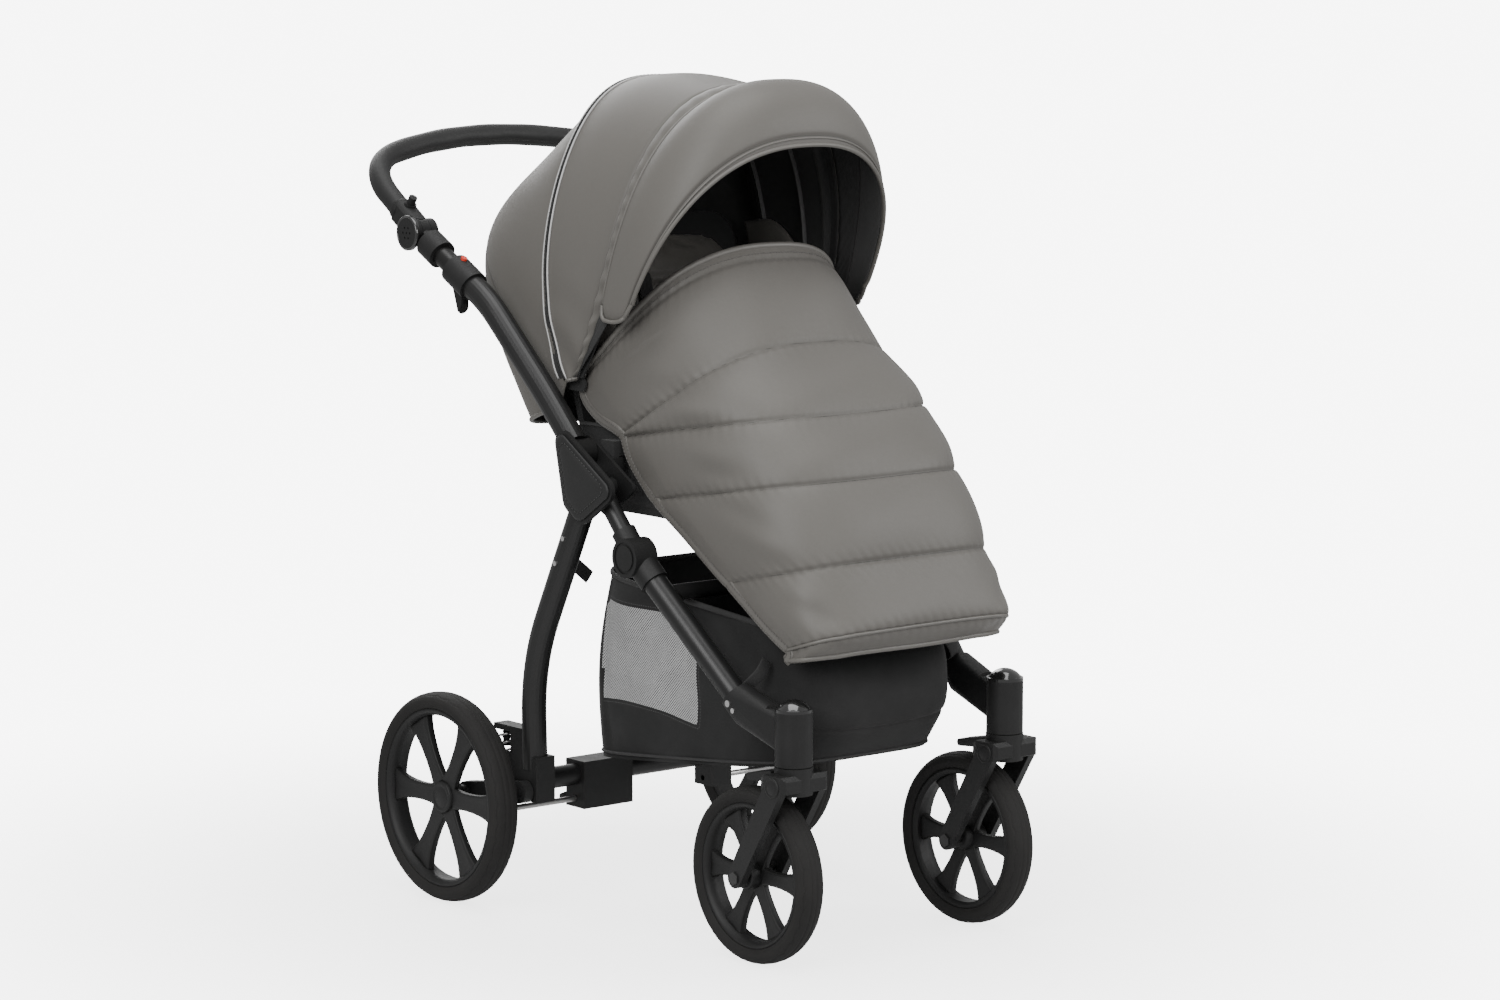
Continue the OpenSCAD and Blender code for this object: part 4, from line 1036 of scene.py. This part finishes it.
quilting = [0.28 + 0 * bulge, 2.0 + 1.15 * bulge, 3.9 - 0.55 * bulge, 5.9 - 0.1 * bulge, 7.9 + 0.1 * bulge,
            10.0 + 0 * bulge]
quilting = [np.broadcast_to(line, (1, 170)) for line in quilting]
step = np.linalg.norm(np.gradient(muff, axis=0), axis=-1) / (11 / 263)
swell = np.zeros(muff.shape[:2])
for upper, lower, height in zip(quilting[:-1], quilting[1:], (5.0, 6.0, 6.5, 7.0, 4.5)):
    share = np.clip((level - upper) / (lower - upper), 0, 1)
    edges = np.clip((1 - side_share) * 9, 0, 1) ** 0.6
    swell += height * (4 * share * (1 - share)) ** 0.75 * edges
nearest = np.min(np.abs(level[None] - np.stack(quilting)) * step[None], axis=0)
run = np.cumsum(np.linalg.norm(np.diff(muff, axis=1, prepend=muff[:, :1]), axis=-1), axis=1)
puckers = 0.9 * np.exp(-nearest / 10) * np.sin(run / 2.6 + level * 3) * (nearest > 1)
slack = 1.5 * np.sin(run / 58 + level * 1.3) * np.sin(level * 2.4 + run / 90)
press = -1.4 * np.exp(-(nearest / 3.0) ** 2)
corner_fold = 2.2 * np.exp(-((side_share - 0.62) / 0.07) ** 2) * np.sin(level * 4.6) * (level > 1)
face_out = outward(muff)
muff += face_out * (swell + press + puckers + slack + corner_fold - 3.0)[..., None]
muff_cover = sewn("footmuff_cover", muff, nearest, "seat", ("footmuff",), 9.0, lining)

# The cover is bound all round: a rolled edge across the top, held by one row of stitches, flat
# binding down both sides, each held by two rows of stitches, and a corded seam above the foot.
leather_edge = material("leather_binding", leather_look(warm_dark, warm_light, 700, 0.14, 0.46))
thread_grey = material("grey_thread", leather_look(grey(0.05, 0.06), grey(0.09, 0.06), 1800, 0.3, 0.6))
top_line = evenly(muff[1], 220)
edging = [(place(tube(top_line + [0, 3, 1], 4.6, (0, 1, 0.4), 16)), True, True),
          (place(tube(evenly(muff[-1], 160), 3.6, (0, 1, 0.4), 12)), True, True),
          (place(tube(evenly(muff[239] + face_out[239] * 1.5, 200), 2.3, (0, 0.6, 1), 12)), True, True)]
muff_stitches = stitch_row(evenly(muff[4] + face_out[4] * 0.4, 300), (0, 1, 0.4))
for side, column in ((-1, 0), (1, -1)):
    edge = evenly(muff[:, column], 240)
    edging.append((place(tube(edge, 7.5, (1, 0, 0), 20, 0.34)), True, True))
    inner_row = evenly(edge + [side * 2.6, 0, 0], 240)
    for lift in (-4.6, 3.6):
        ahead = np.gradient(inner_row, axis=0)
        ahead /= np.linalg.norm(ahead, axis=1, keepdims=True)
        aside = np.cross(ahead, [side, 0, 0])
        muff_stitches += stitch_row(inner_row + aside * lift + [side * 0.2, 0, 0], (1, 0, 0))
piece("footmuff_binding", edging, leather_edge, "seat")
piece("footmuff_stitches", muff_stitches, thread_grey, "seat")

# Below the footrest the cover is closed by a panel of black cloth that sags a little.
low_rows = muff[168:]
left_foot, right_foot = low_rows[:, 0], low_rows[:, -1]
across_share = np.linspace(0, 1, 60)[None, :, None]
panel = left_foot[:, None] + (right_foot - left_foot)[:, None] * across_share
panel[..., 2] -= 5 * np.sin(np.pi * across_share[..., 0]) ** 0.6
panel[..., 2] += 1.2 * np.sin(panel[..., 0] / 19 + panel[..., 1] / 31)
under = piece("footmuff_underside", [(place(panel), False, False)], black_cloth, "seat",
              outside=place([0, -250, 900]))
thicken(under, 2.0)


# ---- Hood ---------------------------------------------------------------------------------------
# Three panels of the same leather on two bows: a rear panel zipped to a middle one, and a padded
# visor over its front. All are lined in charcoal cloth, piped, and drawn in towards their feet.
hood_half = 203
rear_hoops = [[135, 690, 240, 652, hood_half - 12, 4.5, 0], [122, 700, 290, 722, hood_half - 7, 4.2, 0],
              [114, 708, 342, 805, hood_half - 4, 4, 6], [110, 716, 368, 905, hood_half - 3, 4, 12],
              [108, 720, 338, 975, hood_half - 3, 3.6, 18], [106, 724, 272, 1030, hood_half - 3, 3.2, 24],
              [105, 728, 205, 1088, hood_half - 3, 2.8, 28], [105, 728, 172, 1124, hood_half - 3, 2.5, 30]]
middle_hoops = [[104, 729, 165, 1128, hood_half - 2, 2.5, 30], [99, 729, 112, 1132, hood_half - 2, 2.5, 12],
                [95, 730, 52, 1128, hood_half - 2, 2.5, -4], [90, 731, -5, 1122, hood_half - 2, 2.5, -14],
                [84, 733, -57, 1117, hood_half - 2, 2.5, -20]]
visor_hoops = [[26, 817, -60, 1119, hood_half, 2.5, 0], [12, 816, -95, 1128, hood_half + 1, 2.5, 0],
               [-4, 815, -128, 1116, hood_half + 1, 2.5, 0], [-20, 818, -150, 1086, hood_half, 2.45, 0],
               [-31, 826, -158, 1047, hood_half - 2, 2.4, 0]]
rear = hoop_sheet(rear_hoops, 190, 200)
level = np.linspace(0, 1, 190)[:, None]
side_share = np.abs(np.linspace(-1, 1, 200))[None]
fold = np.clip((side_share - 0.45) * 2.2, 0, 1) ** 2
billow = 2.4 * np.sin(np.pi * level) ** 0.5 * (1 - fold)
drape = (0.7 + 0.5 * np.sin(rear[..., 1] / 19 + 3 * side_share)) * fold
fine = 0.2 * np.sin(rear[..., 1] / 8.5 + rear[..., 2] / 14) * fold
panel_seam = np.minimum(np.abs(level - 0.995) * 620, np.abs(level - 0.46) * 620)
nip = -1.0 * np.exp(-(panel_seam / 3.0) ** 2) * (1 - fold)
rear_out = outward(rear)
rear += rear_out * (billow + drape + fine + nip)[..., None]
rear_cover = sewn("hood_rear_panel", rear, panel_seam, None, ("canopy_rear",), 1.8, lining)
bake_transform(rear_cover)

middle = hoop_sheet(middle_hoops, 130, 220)
level = np.linspace(0, 1, 130)[:, None]
side_share = np.abs(np.linspace(-1, 1, 220))[None]
run = np.cumsum(np.linalg.norm(np.diff(middle, axis=1, prepend=middle[:, :1]), axis=-1), axis=1)
band = np.clip((level - 0.8) / 0.2, 0, 1)
low_down = np.clip((side_share - 0.35) / 0.65, 0, 1)
pleats = (0.5 + 2.0 * low_down) * np.sin(run / 4.4 + 1.2 * np.sin(run / 37)) * np.sin(np.pi * band) ** 0.7
roll = 5.5 * np.sin(np.pi * band) ** 0.8
span = np.linalg.norm(middle[-1] - middle[0], axis=-1)[None]
valley = np.abs(level - 0.8) * span
first_seam = level * span + 1.0
billow = 2.0 * np.sin(np.pi * np.clip(level / 0.8, 0, 1)) - 2.6 * np.exp(-(valley / 3.5) ** 2)
drape = 1.8 * np.sin(run / 12 + level * 6) * np.clip((side_share - 0.7) * 3.3, 0, 1) * (level < 0.8)
middle_out = outward(middle)
middle += middle_out * (pleats + roll + billow + drape - 0.6)[..., None]
middle_cover = sewn("hood_middle_panel", middle, np.minimum(valley, first_seam + 2), None,
                    ("canopy_mid",), 3.0, lining)
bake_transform(middle_cover)

visor = hoop_sheet(visor_hoops, 110, 220, lambda p: 0.022 * abs(2 * p - 1) ** 6)
level = np.linspace(0, 1, 110)[:, None]
side_share = np.abs(np.linspace(-1, 1, 220))[None]
span = np.linalg.norm(visor[-1] - visor[0], axis=-1)[None]
edge_seam = np.minimum((1 - level) * span - 9, 60)
front_pad = 2.4 * np.sin(np.pi * np.clip(level, 0, 1)) ** 0.5
foot_tuck = -3.0 * np.exp(-((1 - side_share) / 0.02) ** 2)
wave = 0.9 * np.sin(visor[..., 2] / 41 + level * 5) * np.sin(visor[..., 0] / 60)
press = -1.6 * np.exp(-(edge_seam / 2.4) ** 2)
visor_out = outward(visor)
visor += visor_out * (front_pad + foot_tuck + wave + press + 1.6)[..., None]
sewn("hood_visor", visor, np.abs(edge_seam), "hood_front", ("canopy_visor",), 3.4, lining)

# A strip of black cloth closes the hood between the middle panel and the visor from inside.
strip_share = np.linspace(0, 1, 9)[:, None, None]
from_middle = evenly(middle[-3] - middle_out[-3] * 1.2, 240)
to_visor = evenly(visor[30] - visor_out[30] * 4.2, 240)
closing = from_middle + (to_visor - from_middle) * strip_share
closing_strip = piece("hood_closing_strip", [(place(closing), False, False)], black_webbing, "hood_front",
                      outside=place([0, 88, 800]))
thicken(closing_strip, 1.0)

# Seams of the hood: a coil zip between two silver pipings where rear and middle panels meet, with
# a black gusset that widens downwards, and leather piping round the visor and the hems.
join = evenly(middle[0], 420)
join_out = np.stack([np.interp(np.linspace(0, 219, 420), np.arange(220), middle_out[0, :, k])
                     for k in range(3)], -1)
down = np.abs(np.linspace(-1, 1, 420))
widening = np.stack([0 * down, 6.5 + 11 * down ** 5, 0 * down], -1)
coil_r = 1.7 + 0.5 * np.sin(np.arange(420) * 2.4)
zip_line = join + join_out + [0, 3.0, 0]
piping_silver = material("silver_reflective_piping", metal_look(0.36, 0.34), Metallic=0.25)
piece("hood_zip", [(place(tube(zip_line, coil_r, (0, 1, 0.2), 10)), True, True)], moulded,
      "hood_back")
silver_lines = [(join + join_out * 1.2 - [0, 2.2, 0], 1.5), (join + join_out + widening, 1.3)]
piece("hood_silver_piping", [(place(tube(line, size, (0, 1, 0.2), 10)), True, True)
                             for line, size in silver_lines], piping_silver, "hood_back")
gusset_share = np.linspace(-0.15, 1, 8)[:, None, None]
gusset = join + join_out * 0.4 + gusset_share * widening
gusset_strip = piece("hood_gusset", [(place(gusset), False, False)], black_webbing, "hood_back",
                     outside=place([0, 88, 800]))
thicken(gusset_strip, 1.4)
piping = []
for row, size in ((-1, 2.9), (-7, 1.3), (0, 1.7)):
    line = evenly(visor[row] + visor_out[row] * 0.6, 320)
    piping.append((place(tube(line, size, (0, 1, 0.3), 12)), True, True))
for side, column in ((-1, 0), (1, -1)):
    hem = evenly(visor[:, column], 60) + [side * 2.2, 0, 0]
    piping.append((place(tube(hem, 2.9, (1, 0, 0), 12)), True, True))
piece("hood_visor_piping", piping, leather_edge, "hood_front")
hems = [(place(tube(evenly(middle[4:, column], 60), 2.6, (1, 0, 0), 10)), True, True) for column in (0, -1)]
piece("hood_hems", hems, leather_edge, "hood_back")
piece("hood_rear_hem", [(place(tube(evenly(rear[1], 260), 3.0, (0, 0, 1), 12)), True, True)],
      leather_edge, "back")
finish_nodes(black_cloth, "canopy_bow", "canopy_front_bow")

# Inside the hood a lighter binding covers each seam of the lining.
ribs = []
for row in (6, 66):
    line = evenly(middle[row] - middle_out[row] * 5.0, 260)
    ribs.append((place(tube(line, 4.0, (0, 1, 0.1), 12, 0.35)), True, True))
rib_cloth = material("charcoal_binding", cloth_look(grey(0.07), grey(0.1), 0.0012))
lining_ribs = surface("hood_lining_ribs", ribs, rib_cloth)
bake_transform(lining_ribs)


# ---- Size of the result --------------------------------------------------------------------------
# The box round every shown piece but the backdrop, in metres.
low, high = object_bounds()
